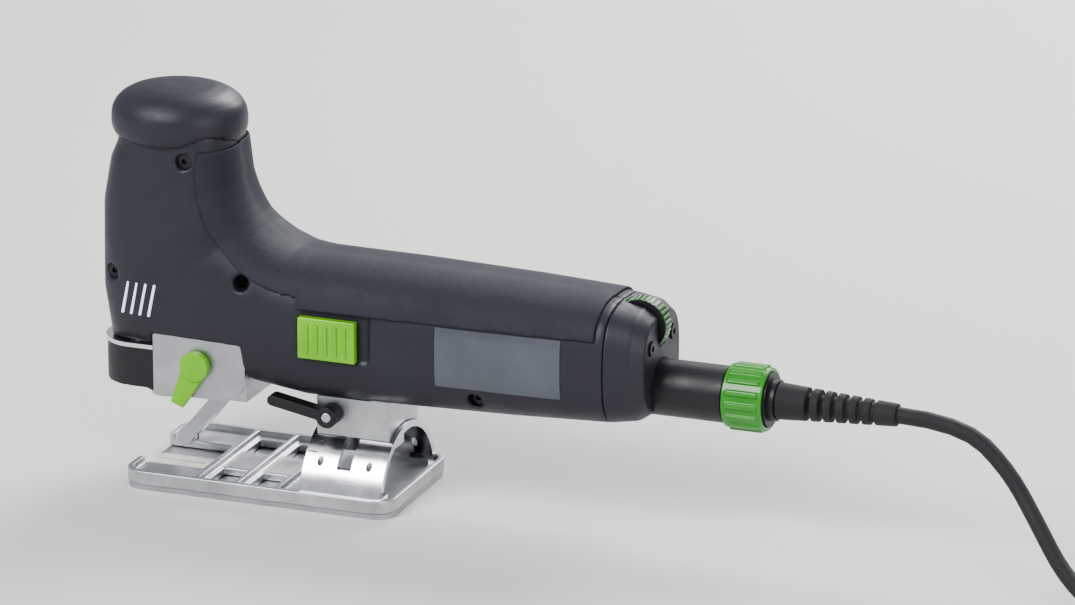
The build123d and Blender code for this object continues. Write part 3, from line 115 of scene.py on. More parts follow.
# %% Shader graph helper
NOISE_LOW = 0.3
NOISE_HIGH = 0.7
# A Mix node names its sockets alike for every kind of data, so its colour sockets go by number.
MIX_FACTOR = 0
MIX_FIRST = 6
MIX_SECOND = 7
MIX_COLOUR = 2


class Signal:
    """One output socket, with the arithmetic that the finishes use."""

    def __init__(self, graph, socket):
        self.graph = graph
        self.socket = socket

    def __add__(self, other):
        return self.graph.node("ShaderNodeMath", {"operation": "ADD"}, {0: self, 1: other})

    def __radd__(self, other):
        return self.graph.node("ShaderNodeMath", {"operation": "ADD"}, {0: other, 1: self})


class Graph:
    """The node tree of one material, built from its Principled shader outwards."""

    def __init__(self, name):
        self.material = bpy.data.materials.new(name)
        self.material.use_nodes = True
        self.tree = self.material.node_tree
        self.shader = self.tree.nodes["Principled BSDF"]
        self.place = self.node("ShaderNodeTexCoord", {}, {}, "Object")

    def node(self, kind, settings, inputs, output=0):
        """Add a node, give it its settings and then its sockets, and wrap one output."""
        made = self.tree.nodes.new(kind)
        for key, value in settings.items():
            setattr(made, key, value)
        for key, value in inputs.items():
            if isinstance(value, Signal):
                self.tree.links.new(value.socket, made.inputs[key])
            else:
                made.inputs[key].default_value = value
        return Signal(self, made.outputs[output])

    def noise(self, scale, detail=4.0, rough=0.55, stretch=(1, 1, 1)):
        """Noise on the piece's own coordinates."""
        spread = self.node("ShaderNodeMapping", {}, {"Vector": self.place, "Scale": stretch})
        return self.node("ShaderNodeTexNoise", {}, {"Vector": spread, "Scale": scale, "Detail": detail,
                                                    "Roughness": rough})

    def between(self, signal, low, high):
        """Noise spread over a range, with its rare extremes cut off."""
        return self.node("ShaderNodeMapRange", {}, {"Value": signal, "From Min": NOISE_LOW,
                                                    "From Max": NOISE_HIGH, "To Min": low,
                                                    "To Max": high})

    def blend(self, factor, first, second):
        """A mix of two colours."""
        return self.node("ShaderNodeMix", {"data_type": "RGBA"},
                         {MIX_FACTOR: factor, MIX_FIRST: first, MIX_SECOND: second}, MIX_COLOUR)

    def bump(self, height, distance, strength):
        """A Bump node, for the shader's Normal."""
        return self.node("ShaderNodeBump", {}, {"Height": height, "Distance": distance,
                                                "Strength": strength})

    def finish(self, **values):
        """Set the shader's sockets, whose names have underscores for spaces, and give the material."""
        for name, value in values.items():
            socket = self.shader.inputs[name.replace("_", " ")]
            if isinstance(value, Signal):
                self.tree.links.new(value.socket, socket)
            else:
                socket.default_value = value
        return self.material


def shade(red, green, blue):
    """An opaque colour from three linear values."""
    return (red, green, blue, 1.0)


def scaled(colour, factor):
    """A colour made lighter or darker by a factor."""
    return tuple(min(1.0, channel * factor) for channel in colour[:3]) + (1.0,)


print("noise used from", NOISE_LOW, "to", NOISE_HIGH)

# %% [markdown]
# A moulded case is never one flat tone. Smudges and dust are laid by noise, because pointiness is
# unreliable on loose triangles, and a fine spark texture lies on top, as an eroded mould leaves it.
# Rubber is matt, with fine pores and a little lint.

# %% Plastics
PATCH_SCALE = 24
SMUDGE_SCALE = 75
MOULD_DARK = 0.84
MOULD_LIGHT = 1.18
MOST_DUST = 0.16
DUST_LIGHT = 1.9
SMUDGE_SHINE = 0.08
SMUDGE_DULL = 0.1
GRAIN_ROUGHNESS = 0.04
GRAIN_STRENGTH = 0.55
PORE_SCALE = 900.0
PORE_DEPTH = 0.00016
PORE_STRENGTH = 0.5
RUBBER_PATCH_SCALE = 35
RUBBER_DARK = 0.85
RUBBER_LIGHT = 1.25
RUBBER_SHEEN = 0.04
LINT_SCALE = 420
MOST_LINT = 0.05
LINT = shade(0.16, 0.17, 0.19)


def moulded_plastic(name, colour, roughness, grain=1900, depth=0.00012, coat=0.0):
    """Glass-filled nylon from a spark-eroded mould, with faint smudges and dust."""
    graph = Graph(name)
    broad = graph.noise(PATCH_SCALE, detail=3)
    fine = graph.noise(grain, detail=2, rough=0.7)
    smudge = graph.noise(SMUDGE_SCALE, detail=5, rough=0.62)
    tone = graph.blend(graph.between(broad, 0.0, 1.0), scaled(colour, MOULD_DARK),
                       scaled(colour, MOULD_LIGHT))
    dust = graph.between(smudge, 0.0, MOST_DUST)
    tone = graph.blend(dust, tone, scaled(colour, DUST_LIGHT))
    smudged = graph.between(smudge, roughness - SMUDGE_SHINE, roughness + SMUDGE_DULL)
    rough = smudged + graph.between(fine, -GRAIN_ROUGHNESS, GRAIN_ROUGHNESS)
    return graph.finish(Base_Color=tone, Roughness=rough, Coat_Weight=coat,
                        Normal=graph.bump(fine, depth, GRAIN_STRENGTH))


def soft_overmould(name, colour):
    """Thermoplastic rubber: matt, with fine pores and faint lint."""
    graph = Graph(name)
    pores = graph.node("ShaderNodeTexVoronoi", {}, {"Vector": graph.place, "Scale": PORE_SCALE})
    broad = graph.noise(RUBBER_PATCH_SCALE)
    lint = graph.noise(LINT_SCALE, detail=6, rough=0.8)
    tone = graph.blend(graph.between(broad, 0.0, 1.0), scaled(colour, RUBBER_DARK),
                       scaled(colour, RUBBER_LIGHT))
    tone = graph.blend(graph.between(lint, 0.0, MOST_LINT), tone, LINT)
    return graph.finish(Base_Color=tone, Roughness=graph.between(broad, 0.62, 0.78),
                        Normal=graph.bump(pores, PORE_DEPTH, PORE_STRENGTH), Sheen_Weight=RUBBER_SHEEN)


print("plastic finishes:", moulded_plastic.__name__, soft_overmould.__name__)

# %% [markdown]
# Metals differ by how they were made: a die-casting is blasted and grainy, copper lies in turns of
# wire, and ground steel carries fine scratches one way.

# %% Metals
BLAST_SCALE = 1300
BLAST_DEPTH = 0.00018
BLAST_STRENGTH = 0.6
OXIDE_SCALE = 60
OXIDE_DARK = 0.72
GRIND_SCALE = 260
GRIND_STRETCH = (1, 26, 26)
GRIND_DEPTH = 0.00004
GRIND_STRENGTH = 0.4
GRIND_SHINE = 0.08
GRIND_DULL = 0.1
STAIN_SCALE = 48
STAIN_DARK = 0.8
STAIN_LIGHT = 1.08
STAIN_SHINE = 0.05
STAIN_DULL = 0.08
METAL_LIGHT = 1.1
WIRE_SCALE = 420.0
WIRE_DEPTH = 0.0002
WIRE_STRENGTH = 0.7
WIRE_PATCH_SCALE = 70
WIRE_DARK = 0.6
WIRE_METALLIC = 0.8


def die_cast(name, colour):
    """Blasted aluminium casting with grey oxide in patches."""
    graph = Graph(name)
    grain = graph.noise(BLAST_SCALE, detail=3, rough=0.7)
    broad = graph.noise(OXIDE_SCALE, detail=5, rough=0.6)
    tone = graph.blend(graph.between(broad, 0.0, 1.0), scaled(colour, OXIDE_DARK),
                       scaled(colour, METAL_LIGHT))
    return graph.finish(Base_Color=tone, Metallic=1.0, Roughness=graph.between(broad, 0.36, 0.52),
                        Normal=graph.bump(grain, BLAST_DEPTH, BLAST_STRENGTH))


def ground_steel(name, colour, roughness):
    """Steel with fine grinding lines along one direction and faint handling stains."""
    graph = Graph(name)
    lines = graph.noise(GRIND_SCALE, rough=0.7, stretch=GRIND_STRETCH)
    stain = graph.noise(STAIN_SCALE, detail=5, rough=0.6)
    tone = graph.blend(graph.between(stain, 0.0, 1.0), scaled(colour, STAIN_DARK),
                       scaled(colour, STAIN_LIGHT))
    ground = graph.between(lines, roughness - GRIND_SHINE, roughness + GRIND_DULL)
    rough = ground + graph.between(stain, -STAIN_SHINE, STAIN_DULL)
    return graph.finish(Base_Color=tone, Metallic=1.0, Roughness=rough,
                        Normal=graph.bump(lines, GRIND_DEPTH, GRIND_STRENGTH))


def wound_copper(name, colour):
    """Enamelled wire, its turns drawn as bands."""
    graph = Graph(name)
    wires = graph.node("ShaderNodeTexWave", {"bands_direction": "Y"},
                       {"Vector": graph.place, "Scale": WIRE_SCALE, "Distortion": 1.5, "Detail": 2.0})
    broad = graph.noise(WIRE_PATCH_SCALE)
    tone = graph.blend(graph.between(broad, 0.0, 1.0), scaled(colour, WIRE_DARK),
                       scaled(colour, METAL_LIGHT))
    return graph.finish(Base_Color=tone, Metallic=WIRE_METALLIC, Roughness=graph.between(broad, 0.25, 0.42),
                        Normal=graph.bump(wires, WIRE_DEPTH, WIRE_STRENGTH))


print("metal finishes:", die_cast.__name__, ground_steel.__name__, wound_copper.__name__)

# %% [markdown]
# A few pieces need finishes of their own: the clear lens has a faint haze, the board shows tracks
# through its solder mask, and the pale slots on the flanks have a faint glow, a painted highlight.

# %% Lens, board and slots with a painted highlight
LENS_HAZE_SCALE = 300
LENS_ALPHA = 0.55
LENS_IOR = 1.49
LENS_COAT = 0.6
TRACK_SCALE = 260.0
TRACK_LIGHT = 1.6
TRACK_EDGE = 2.6
SLOT_HAZE_SCALE = 420
# Strength of the painted glow on the slots.
SLOT_PAINTED_GLOW = 0.35


def clear_lens(name, colour):
    """Polished clear plastic with a faint haze."""
    graph = Graph(name)
    haze = graph.noise(LENS_HAZE_SCALE)
    graph.material.surface_render_method = "DITHERED"
    return graph.finish(Base_Color=colour, Roughness=graph.between(haze, 0.04, 0.1), Alpha=LENS_ALPHA,
                        IOR=LENS_IOR, Coat_Weight=LENS_COAT)


def circuit_board(name, colour):
    """Solder mask with tracks that show through it."""
    graph = Graph(name)
    tracks = graph.node("ShaderNodeTexBrick", {}, {"Vector": graph.place, "Scale": TRACK_SCALE,
                                                   "Color1": colour, "Color2": scaled(colour, TRACK_LIGHT),
                                                   "Mortar": scaled(colour, TRACK_EDGE)})
    return graph.finish(Base_Color=tracks, Roughness=0.35)


def painted_highlight_plastic(name, colour, light):
    """Pale plastic with a faint glow, a painted highlight rather than a lamp."""
    graph = Graph(name)
    haze = graph.noise(SLOT_HAZE_SCALE)
    # The emission is painted light: a highlight on the slots, not a lamp.
    return graph.finish(Base_Color=colour, Roughness=graph.between(haze, 0.18, 0.3),
                        Emission_Color=light, Emission_Strength=SLOT_PAINTED_GLOW)


print("other finishes:", clear_lens.__name__, circuit_board.__name__, painted_highlight_plastic.__name__)

# %% [markdown]
# The colours are few: a slate case, a bluer soft grip, black fittings, two greens, and bare metal.
# Each node takes the finish that the record's material slot names, apart from the lock ring, whose
# green is deeper.

# %% Palette
SLATE = shade(0.018, 0.018, 0.026)
SOFT_BLUE = shade(0.011, 0.013, 0.021)
BLACK = shade(0.012, 0.012, 0.014)
GREY_PANEL = shade(0.075, 0.082, 0.1)
LIME = shade(0.15, 0.44, 0.010)
RING_GREEN = shade(0.03, 0.22, 0.014)
ALUMINIUM = shade(0.62, 0.63, 0.64)
STEEL = shade(0.5, 0.5, 0.52)

finishes = {
    "housing_plastic": moulded_plastic("housing_plastic", SLATE, 0.46),
    "soft_plastic": soft_overmould("soft_plastic", SOFT_BLUE),
    "black_plastic": moulded_plastic("black_plastic", BLACK, 0.42),
    "badge_plastic": moulded_plastic("badge_plastic", GREY_PANEL, 0.36, grain=2600, depth=0.00005, coat=0.3),
    "green_plastic": moulded_plastic("green_plastic", LIME, 0.32, grain=2400, depth=0.00006, coat=0.4),
    "lens": clear_lens("lens", shade(0.85, 0.92, 1.0)),
    "cast_metal": die_cast("cast_metal", ALUMINIUM),
    "bright_steel": ground_steel("bright_steel", shade(0.78, 0.78, 0.8), 0.16),
    "steel": ground_steel("steel", STEEL, 0.34),
    "dark_steel": ground_steel("dark_steel", shade(0.06, 0.06, 0.065), 0.38),
    "copper": wound_copper("copper", shade(0.75, 0.3, 0.1)),
    "bronze": ground_steel("bronze", shade(0.6, 0.4, 0.17), 0.36),
    "board": circuit_board("board", shade(0.01, 0.09, 0.03)),
    "cord_rubber": soft_overmould("cord_rubber", shade(0.011, 0.011, 0.012)),
    "guard_plastic": moulded_plastic("guard_plastic", shade(0.6, 0.6, 0.55), 0.34, grain=2400, depth=0.00004),
}
ring_finish = moulded_plastic("ring_green", RING_GREEN, 0.34, grain=2400, depth=0.00006, coat=0.3)


def paint(piece, finish):
    """Give a piece one finish in place of whatever it had."""
    piece.data.materials.clear()
    piece.data.materials.append(finish)


for entry in frame["record"]["subparts"]:
    paint(nodes[entry["node"]], finishes[entry["material_slot"]])
paint(nodes["lock_ring"], ring_finish)
print("finishes:", len(finishes) + 1)

# %% [markdown]
# Real mouldings have no sharp edges. Each outer skin is remade from its CAD solid: the loose triangles
# are merged, wrapped by a fine voxel remesh, and relaxed a little, which rounds the edges.

# %% Softened skins
MERGE_DISTANCE = 1e-6
RELAX_FACTOR = 0.5


def slot_of(node):
    """The record's material slot of a CAD node."""
    return next(entry["material_slot"] for entry in frame["record"]["subparts"] if entry["node"] == node)


def place_piece(piece, node):
    """Let a new piece stand for a CAD node, on the same body and with the same finish."""
    paint(piece, finishes[slot_of(node)])
    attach(piece, nodes[node]["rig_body"])
    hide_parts(node)


def merged_copy(node, name):
    """A new object with a CAD node's mesh, its doubled corners merged."""
    mesh = nodes[node].data.copy()
    mesh.name = name
    piece = bpy.data.objects.new(name, mesh)
    bpy.context.scene.collection.objects.link(piece)
    shape = bmesh.new()
    shape.from_mesh(mesh)
    bmesh.ops.remove_doubles(shape, verts=shape.verts, dist=MERGE_DISTANCE)
    shape.to_mesh(mesh)
    shape.free()
    return piece


def apply_modifiers(piece):
    """Replace a piece's mesh with its evaluated mesh and remove its modifiers."""
    evaluated = piece.evaluated_get(bpy.context.evaluated_depsgraph_get())
    mesh = bpy.data.meshes.new_from_object(evaluated)
    piece.modifiers.clear()
    piece.data = mesh


def soften(node, name, voxel, relax):
    """Remesh a node finely and relax it, so that its edges are rounded as a mould leaves them."""
    piece = merged_copy(node, name)
    remesh = piece.modifiers.new("remesh", "REMESH")
    remesh.mode = "VOXEL"
    remesh.voxel_size = voxel
    smooth = piece.modifiers.new("smooth", "SMOOTH")
    smooth.factor = RELAX_FACTOR
    smooth.iterations = relax
    apply_modifiers(piece)
    piece.data.shade_smooth()
    place_piece(piece, node)
    print(name, "faces:", len(piece.data.polygons))
    return piece


# Voxel size in millimetres and number of relaxing steps of each skin.
SKINS = {"housing_left": (0.9, 8), "housing_right": (0.9, 8), "soft_grip": (0.7, 6), "rear_cap": (0.6, 6),
         "top_cap": (0.8, 14), "nose_cover": (0.5, 4), "gear_case": (0.7, 3), "base_plate": (0.6, 3),
         "saddle": (0.5, 3), "switch_sliders": (0.35, 4), "selector_lever": (0.35, 4),
         "tilt_lever": (0.3, 4), "lock_ring": (0.35, 3),
         "mains_plug": (0.6, 5), "cord_boot": (0.35, 3)}
skins = {}
for node, (voxel, relax) in SKINS.items():
    skins[node] = soften(node, node + "_skin", voxel * MM, relax)
skins["lock_ring"].data.materials[0] = ring_finish

# %% [markdown]
# Small details that repeat are Geometry Nodes: one tree sets a shape along a line, the other sets it
# around an axis along X. Each tree's sizes are named inputs, and its result becomes a plain mesh.

# %% Repeating trees
ROW_INPUTS = {"Shape": "NodeSocketObject", "Count": "NodeSocketInt", "Start": "NodeSocketVector",
              "Step": "NodeSocketVector", "Turn": "NodeSocketVector", "Finish": "NodeSocketMaterial"}
RING_INPUTS = {"Shape": "NodeSocketObject", "Count": "NodeSocketInt", "First": "NodeSocketFloat",
               "Spacing": "NodeSocketFloat", "Centre": "NodeSocketVector", "Turn": "NodeSocketVector",
               "Finish": "NodeSocketMaterial"}


def new_tree(name, inputs):
    """An empty tree with its named inputs, and a function that adds linked nodes to it."""
    tree = bpy.data.node_groups.new(name, "GeometryNodeTree")
    tree.interface.new_socket("Geometry", in_out="OUTPUT", socket_type="NodeSocketGeometry")
    for label, kind in inputs.items():
        tree.interface.new_socket(label, in_out="INPUT", socket_type=kind)
    given = tree.nodes.new("NodeGroupInput")

    def add(kind, settings, links):
        made = tree.nodes.new(kind)
        for key, value in settings.items():
            setattr(made, key, value)
        for key, value in links.items():
            if isinstance(value, bpy.types.NodeSocket):
                tree.links.new(value, made.inputs[key])
            else:
                made.inputs[key].default_value = value
        return made

    return tree, given.outputs, add


def close_tree(add, geometry, finish):
    """Realise the instances, give them their finish and end the tree."""
    real = add("GeometryNodeRealizeInstances", {}, {"Geometry": geometry})
    painted = add("GeometryNodeSetMaterial", {}, {"Geometry": real.outputs[0], "Material": finish})
    add("NodeGroupOutput", {}, {0: painted.outputs[0]})


def row_tree():
    """Tree that sets a shape along a straight line."""
    tree, given, add = new_tree("row", ROW_INPUTS)
    line = add("GeometryNodeMeshLine", {"mode": "OFFSET"},
               {"Count": given["Count"], "Start Location": given["Start"], "Offset": given["Step"]})
    shape = add("GeometryNodeObjectInfo", {}, {"Object": given["Shape"], "As Instance": True})
    placed = add("GeometryNodeInstanceOnPoints", {},
                 {"Points": line.outputs["Mesh"], "Instance": shape.outputs["Geometry"],
                  "Rotation": given["Turn"]})
    close_tree(add, placed.outputs[0], given["Finish"])
    return tree


def ring_tree():
    """Tree that sets a shape around an axis along X, at equal angles."""
    tree, given, add = new_tree("ring", RING_INPUTS)
    points = add("GeometryNodePoints", {}, {"Count": given["Count"]})
    index = add("GeometryNodeInputIndex", {}, {})
    swept = add("ShaderNodeMath", {"operation": "MULTIPLY_ADD"},
                {0: index.outputs[0], 1: given["Spacing"], 2: given["First"]})
    angles = add("ShaderNodeCombineXYZ", {}, {"X": swept.outputs[0]})
    shape = add("GeometryNodeObjectInfo", {}, {"Object": given["Shape"], "As Instance": True})
    placed = add("GeometryNodeInstanceOnPoints", {},
                 {"Points": points.outputs[0], "Instance": shape.outputs["Geometry"],
                  "Rotation": angles.outputs[0]})
    moved = add("GeometryNodeTransform", {},
                {"Geometry": placed.outputs[0], "Translation": given["Centre"], "Rotation": given["Turn"]})
    close_tree(add, moved.outputs[0], given["Finish"])
    return tree


TREES = {"row": row_tree(), "ring": ring_tree()}
print("trees:", sorted(TREES))

# %% [markdown]
# A tree repeats one small rounded block. Its result is made a plain mesh, so that it rides on a body
# like any other piece. Blocks on a curved flank sit where a sideways ray meets the skin.

# %% Blocks and repeats
BEVEL_SEGMENTS = 3
BEVEL_PROFILE = 0.5
RAY_START = 0.1
SIDES = {"left": -1, "right": 1}


def rounded_block(size, edge, middle=(0, 0, 0)):
    """A block with rounded edges, in metres, used as the shape that a tree repeats."""
    mesh = bpy.data.meshes.new("block")
    shape = bmesh.new()
    bmesh.ops.create_cube(shape, size=1.0)
    bmesh.ops.scale(shape, vec=size, verts=shape.verts)
    bmesh.ops.bevel(shape, geom=shape.edges[:], offset=edge, segments=BEVEL_SEGMENTS,
                    profile=BEVEL_PROFILE, affect="EDGES")
    bmesh.ops.translate(shape, vec=middle, verts=shape.verts)
    shape.to_mesh(mesh)
    shape.free()
    block = bpy.data.objects.new("block", mesh)
    bpy.context.scene.collection.objects.link(block)
    return block


def repeat(kind, name, node, material, **values):
    """Run a tree with its named inputs, keep the result as a plain mesh and let it ride on a node's body."""
    piece = bpy.data.objects.new(name, bpy.data.meshes.new(name))
    bpy.context.scene.collection.objects.link(piece)
    modifier = piece.modifiers.new(kind, "NODES")
    modifier.node_group = TREES[kind]
    sockets = {item.name: item.identifier for item in TREES[kind].interface.items_tree
               if item.in_out == "INPUT"}
    for label, value in {**values, "Finish": material}.items():
        modifier[sockets[label]] = value
    apply_modifiers(piece)
    bpy.data.objects.remove(values["Shape"])
    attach(piece, nodes[node]["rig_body"])
    print(name, "faces:", len(piece.data.polygons))
    return piece


def flank(skin, x, z, side):
    """Point where a sideways line meets the outside of a skin."""
    start = Vector((x, side * RAY_START, z))
    found, place, _, _ = skin.ray_cast(start, Vector((0, -side, 0)))
    return place if found else None


bpy.context.view_layer.update()
print("sides:", SIDES)

# %% [markdown]
# Four slanted pale slots mark each flank; their faint glow is a painted highlight. They follow the
# flank: the row runs between two points on the skin, moves out by part of the bulge between them, and tips as
# the skin does.

# %% Light slots, with a painted highlight glow
SLOT_COUNT = 4
SLOT_FIRST_X = -58 * MM
SLOT_STEP_X = 4.6 * MM
SLOT_Z = 90 * MM
SLOT_LEAN = math.radians(12)
SLOT_WIDTH = 1.3 * MM
SLOT_DEPTH = 2.0 * MM
SLOT_LENGTH = 16 * MM
SLOT_EDGE = 0.5 * MM
SLOT_SINK = 0.5 * MM
BULGE_SHARE = 0.7
# Pale slots whose faint glow is a painted highlight, not a lamp.
slot_painted_highlight = painted_highlight_plastic("painted_highlight_slot", shade(0.82, 0.86, 0.92), shade(0.8, 0.88, 1.0))


def light_slots(word, side):
    """The row of slots on one flank."""
    half = "housing_" + word
    reach = SLOT_STEP_X * (SLOT_COUNT - 1)
    first = flank(skins[half], SLOT_FIRST_X, SLOT_Z, side)
    last = flank(skins[half], SLOT_FIRST_X + reach, SLOT_Z, side)
    middle = flank(skins[half], SLOT_FIRST_X + reach / 2, SLOT_Z, side)
    upper = flank(skins[half], SLOT_FIRST_X + reach / 2, SLOT_Z + SLOT_LENGTH / 2, side)
    bulge = Vector((0, middle.y - (first.y + last.y) / 2, 0))
    tip = math.atan2(middle.y - upper.y, SLOT_LENGTH / 2)
    repeat("row", "light_slots_" + word, half, slot_painted_highlight,
           Shape=rounded_block((SLOT_WIDTH, SLOT_DEPTH, SLOT_LENGTH), SLOT_EDGE), Count=SLOT_COUNT,
           Start=first + bulge * BULGE_SHARE - Vector((0, side * SLOT_SINK, 0)),
           Step=(last - first) / (SLOT_COUNT - 1), Turn=(tip, SLOT_LEAN, 0))


for word, side in SIDES.items():
    light_slots(word, side)

# %% [markdown]
# The thumb pushes the switch by its upright ribs, spaced evenly along each slider.

# %% Switch ribs
RIB_COUNT = 5
RIB_SIZE = (1.5 * MM, 1.6 * MM, 14 * MM)
RIB_EDGE = 0.6 * MM
switch_low, switch_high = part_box("switch_sliders")
rib_gap = (switch_high.x - switch_low.x) / (RIB_COUNT + 1)
switch_z = (switch_low.z + switch_high.z) / 2


def switch_ribs(word, side):
    """The row of ribs on one slider."""
    first = flank(skins["switch_sliders"], switch_low.x + rib_gap, switch_z, side)
    last = flank(skins["switch_sliders"], switch_high.x - rib_gap, switch_z, side)
    repeat("row", "switch_ribs_" + word, "switch_sliders", finishes["green_plastic"],
           Shape=rounded_block(RIB_SIZE, RIB_EDGE), Count=RIB_COUNT,
           Start=first, Step=(last - first) / (RIB_COUNT - 1), Turn=(0, 0, 0))


for word, side in SIDES.items():
    switch_ribs(word, side)

# %% [markdown]
# The speed dial is turned by a fingertip, so its rim has fine ridges all round.

# %% Dial ridges
RIDGE_COUNT = 32
RIDGE_SIZE = (7 * MM, 1.1 * MM, 0.7 * MM)
RIDGE_EDGE = 0.25 * MM
dial_low, dial_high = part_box("speed_dial")
dial_radius = (dial_high.z - dial_low.z) / 2
dial_centre = Vector(((dial_low.x + dial_high.x) / 2, 0, (dial_low.z + dial_high.z) / 2))
repeat("ring", "dial_ridges", "speed_dial", ring_finish,
       Shape=rounded_block(RIDGE_SIZE, RIDGE_EDGE, (0, 0, dial_radius)),
       Count=RIDGE_COUNT, First=0.0, Spacing=2 * math.pi / RIDGE_COUNT, Centre=dial_centre,
       Turn=(0, 0, math.pi / 2))

# %% [markdown]
# A scale of plain strokes on the quadrant shows how far the base is tilted, every fifteen degrees.

# %% Tilt scale
TICK_STEP = math.radians(15)
TICK_COUNT = 7
TICK_SIZE = (5 * MM, 0.5 * MM, 0.3 * MM)
TICK_EDGE = 0.08 * MM
TICK_INSET = 3.2 * MM
quadrant_low, quadrant_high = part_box("tilt_quadrant")
ink = moulded_plastic("tick_ink", BLACK, 0.6)
repeat("ring", "tilt_scale", "tilt_quadrant", ink,
       Shape=rounded_block(TICK_SIZE, TICK_EDGE, (quadrant_low.x + TICK_INSET, 0, quadrant_high.z)),
       Count=TICK_COUNT, First=-TICK_STEP * (TICK_COUNT - 1) / 2, Spacing=TICK_STEP, Centre=(0, 0, 0),
       Turn=(0, 0, 0))

# %% [markdown]
# The plug is pulled by hand, and ribs along its body keep the fingers from slipping.

# %% Plug ribs
GRIP_COUNT = 22
GRIP_LENGTH = 16 * MM
GRIP_WIDTH = 2 * MM
GRIP_HEIGHT = 1 * MM
GRIP_EDGE = 0.4 * MM
GRIP_SINK = 0.5 * MM
GRIP_PLACE = 16 * MM
plug_low, plug_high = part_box("mains_plug")
plug_radius = (plug_high.z - plug_low.z) / 2
plug_centre = Vector((plug_low.x + GRIP_PLACE, (plug_low.y + plug_high.y) / 2,
                      (plug_low.z + plug_high.z) / 2))
plug_ribs = repeat("ring", "plug_ribs", "mains_plug", finishes["black_plastic"],
                   Shape=rounded_block((GRIP_LENGTH, GRIP_WIDTH, GRIP_HEIGHT), GRIP_EDGE,
                                       (0, 0, plug_radius - GRIP_SINK)),
                   Count=GRIP_COUNT, First=0.0, Spacing=2 * math.pi / GRIP_COUNT, Centre=plug_centre,
                   Turn=(0, 0, 0))

# %% [markdown]
# The lead is one flexible length: straight out of its boot, down to the surface in a long bend, then
# into a hank in line with the saw. The hank lies two columns wide. Its cord climbs a layer, then
# changes column, by turns, and each change comes a little earlier in its turn than the last one, so
# that neighbouring turns stay a diameter apart.

# %% Cord route
CORD_DIAMETER = 7.6 * MM
LEAD_POINTS = [(306, 0, 68), (336, 0, 68), (360, -8, 52), (377, -19, 33), (394, -33, 15), (417, -48, 4.6),
               (445, -58, 3.8), (475, -60.4, 3.8)]
TAIL_POINTS = [(530, -59, 41.6), (560, -57.5, 42.5), (590, -48, 40), (610, -27, 34), (614, 0, 26),
               (600, 20, 20), (575, 26, 17.5), (545, 26, 17.5)]
hank_low, hank_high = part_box("cord_hank")
hank_centre = (hank_low + hank_high) / 2
OUTER_RADIUS = (hank_high.y - hank_low.y) / 2 - CORD_DIAMETER / 2
HALF_STRAIGHT = (hank_high.x - hank_low.x) / 2 - OUTER_RADIUS - CORD_DIAMETER / 2
TURNS = 8
CHANGES = 9
FIRST_CHANGE = 0.72
CHANGE_PERIOD = 0.88
CHANGE_WIDTH = 0.12
HALF_TURN_POINTS = 12
TURN_POINTS = 2 * HALF_TURN_POINTS
RUN_STEPS = 3
FOLD_MIDDLE = HALF_TURN_POINTS // 2
FOLD_SPREAD = 2
ARC_STEP = math.radians(36)


def place_in_bundle(travelled):
    """Column, from 0 outside to 1 inside, and layer of the cord after a number of turns."""
    column = 0.0
    layer = 0.0
    for number in range(CHANGES):
        share = (travelled - FIRST_CHANGE - CHANGE_PERIOD * number) / CHANGE_WIDTH + 0.5
        share = min(1.0, max(0.0, share))
        share = share * share * (3 - 2 * share)
        if number % 2 == 0:
            layer += share
        else:
            column += share if number % 4 == 1 else -share
    return column, layer


def turn_point(step, radius):
    """Control point of a racetrack whose curve, not its corners, has the given radius at the folds."""
    half, place = divmod(step % TURN_POINTS, HALF_TURN_POINTS)
    side = 1 - 2 * half
    corner = radius / math.cos(ARC_STEP / 2)
    edge = HALF_STRAIGHT - corner * math.cos(FOLD_SPREAD * ARC_STEP)
    if place <= RUN_STEPS:
        return side * edge * place / RUN_STEPS, -side * radius
    if place >= HALF_TURN_POINTS - RUN_STEPS:
        return side * edge * (HALF_TURN_POINTS - place) / RUN_STEPS, side * radius
    angle = (place - FOLD_MIDDLE) * ARC_STEP
    return side * (HALF_STRAIGHT + corner * math.cos(angle)), side * corner * math.sin(angle)


def hank_points():
    """Control points of the whole hank, from the middle of the near side."""
    points = []
    for step in range(TURNS * TURN_POINTS + 1):
        column, layer = place_in_bundle(step / TURN_POINTS)
        along, across = turn_point(step, OUTER_RADIUS - column * CORD_DIAMETER)
        points.append(Vector((hank_centre.x + along, hank_centre.y + across, (0.5 + layer) * CORD_DIAMETER)))
    return points


outer_fold = OUTER_RADIUS / CORD_DIAMETER
print("fold radii in diameters:", round(outer_fold, 2), round(outer_fold - 1, 2))

# %% [markdown]
# The whole lead is one NURBS spline of order three, made into a tube. Most of it lies down on the
# floor, and its first end starts at the boot.

# %% Curve helpers
SPLINE_ORDER = 3
LINE_RESOLUTION = 6


def nurbs_line(name, points):
    """A curve object of one open NURBS spline of order three through its end points."""
    curve = bpy.data.curves.new(name, "CURVE")
    curve.dimensions = "3D"
    curve.resolution_u = LINE_RESOLUTION
    spline = curve.splines.new("NURBS")
    spline.points.add(len(points) - 1)
    for knot, point in zip(spline.points, points):
        knot.co = (*point, 1.0)
    spline.order_u = SPLINE_ORDER
    spline.use_endpoint_u = True
    line = bpy.data.objects.new(name, curve)
    bpy.context.scene.collection.objects.link(line)
    return line


def centre_line(line):
    """The points that a curve's own line follows."""
    mesh = bpy.data.meshes.new_from_object(line.evaluated_get(bpy.context.evaluated_depsgraph_get()))
    return [vertex.co.copy() for vertex in mesh.vertices]


print("spline order:", SPLINE_ORDER)

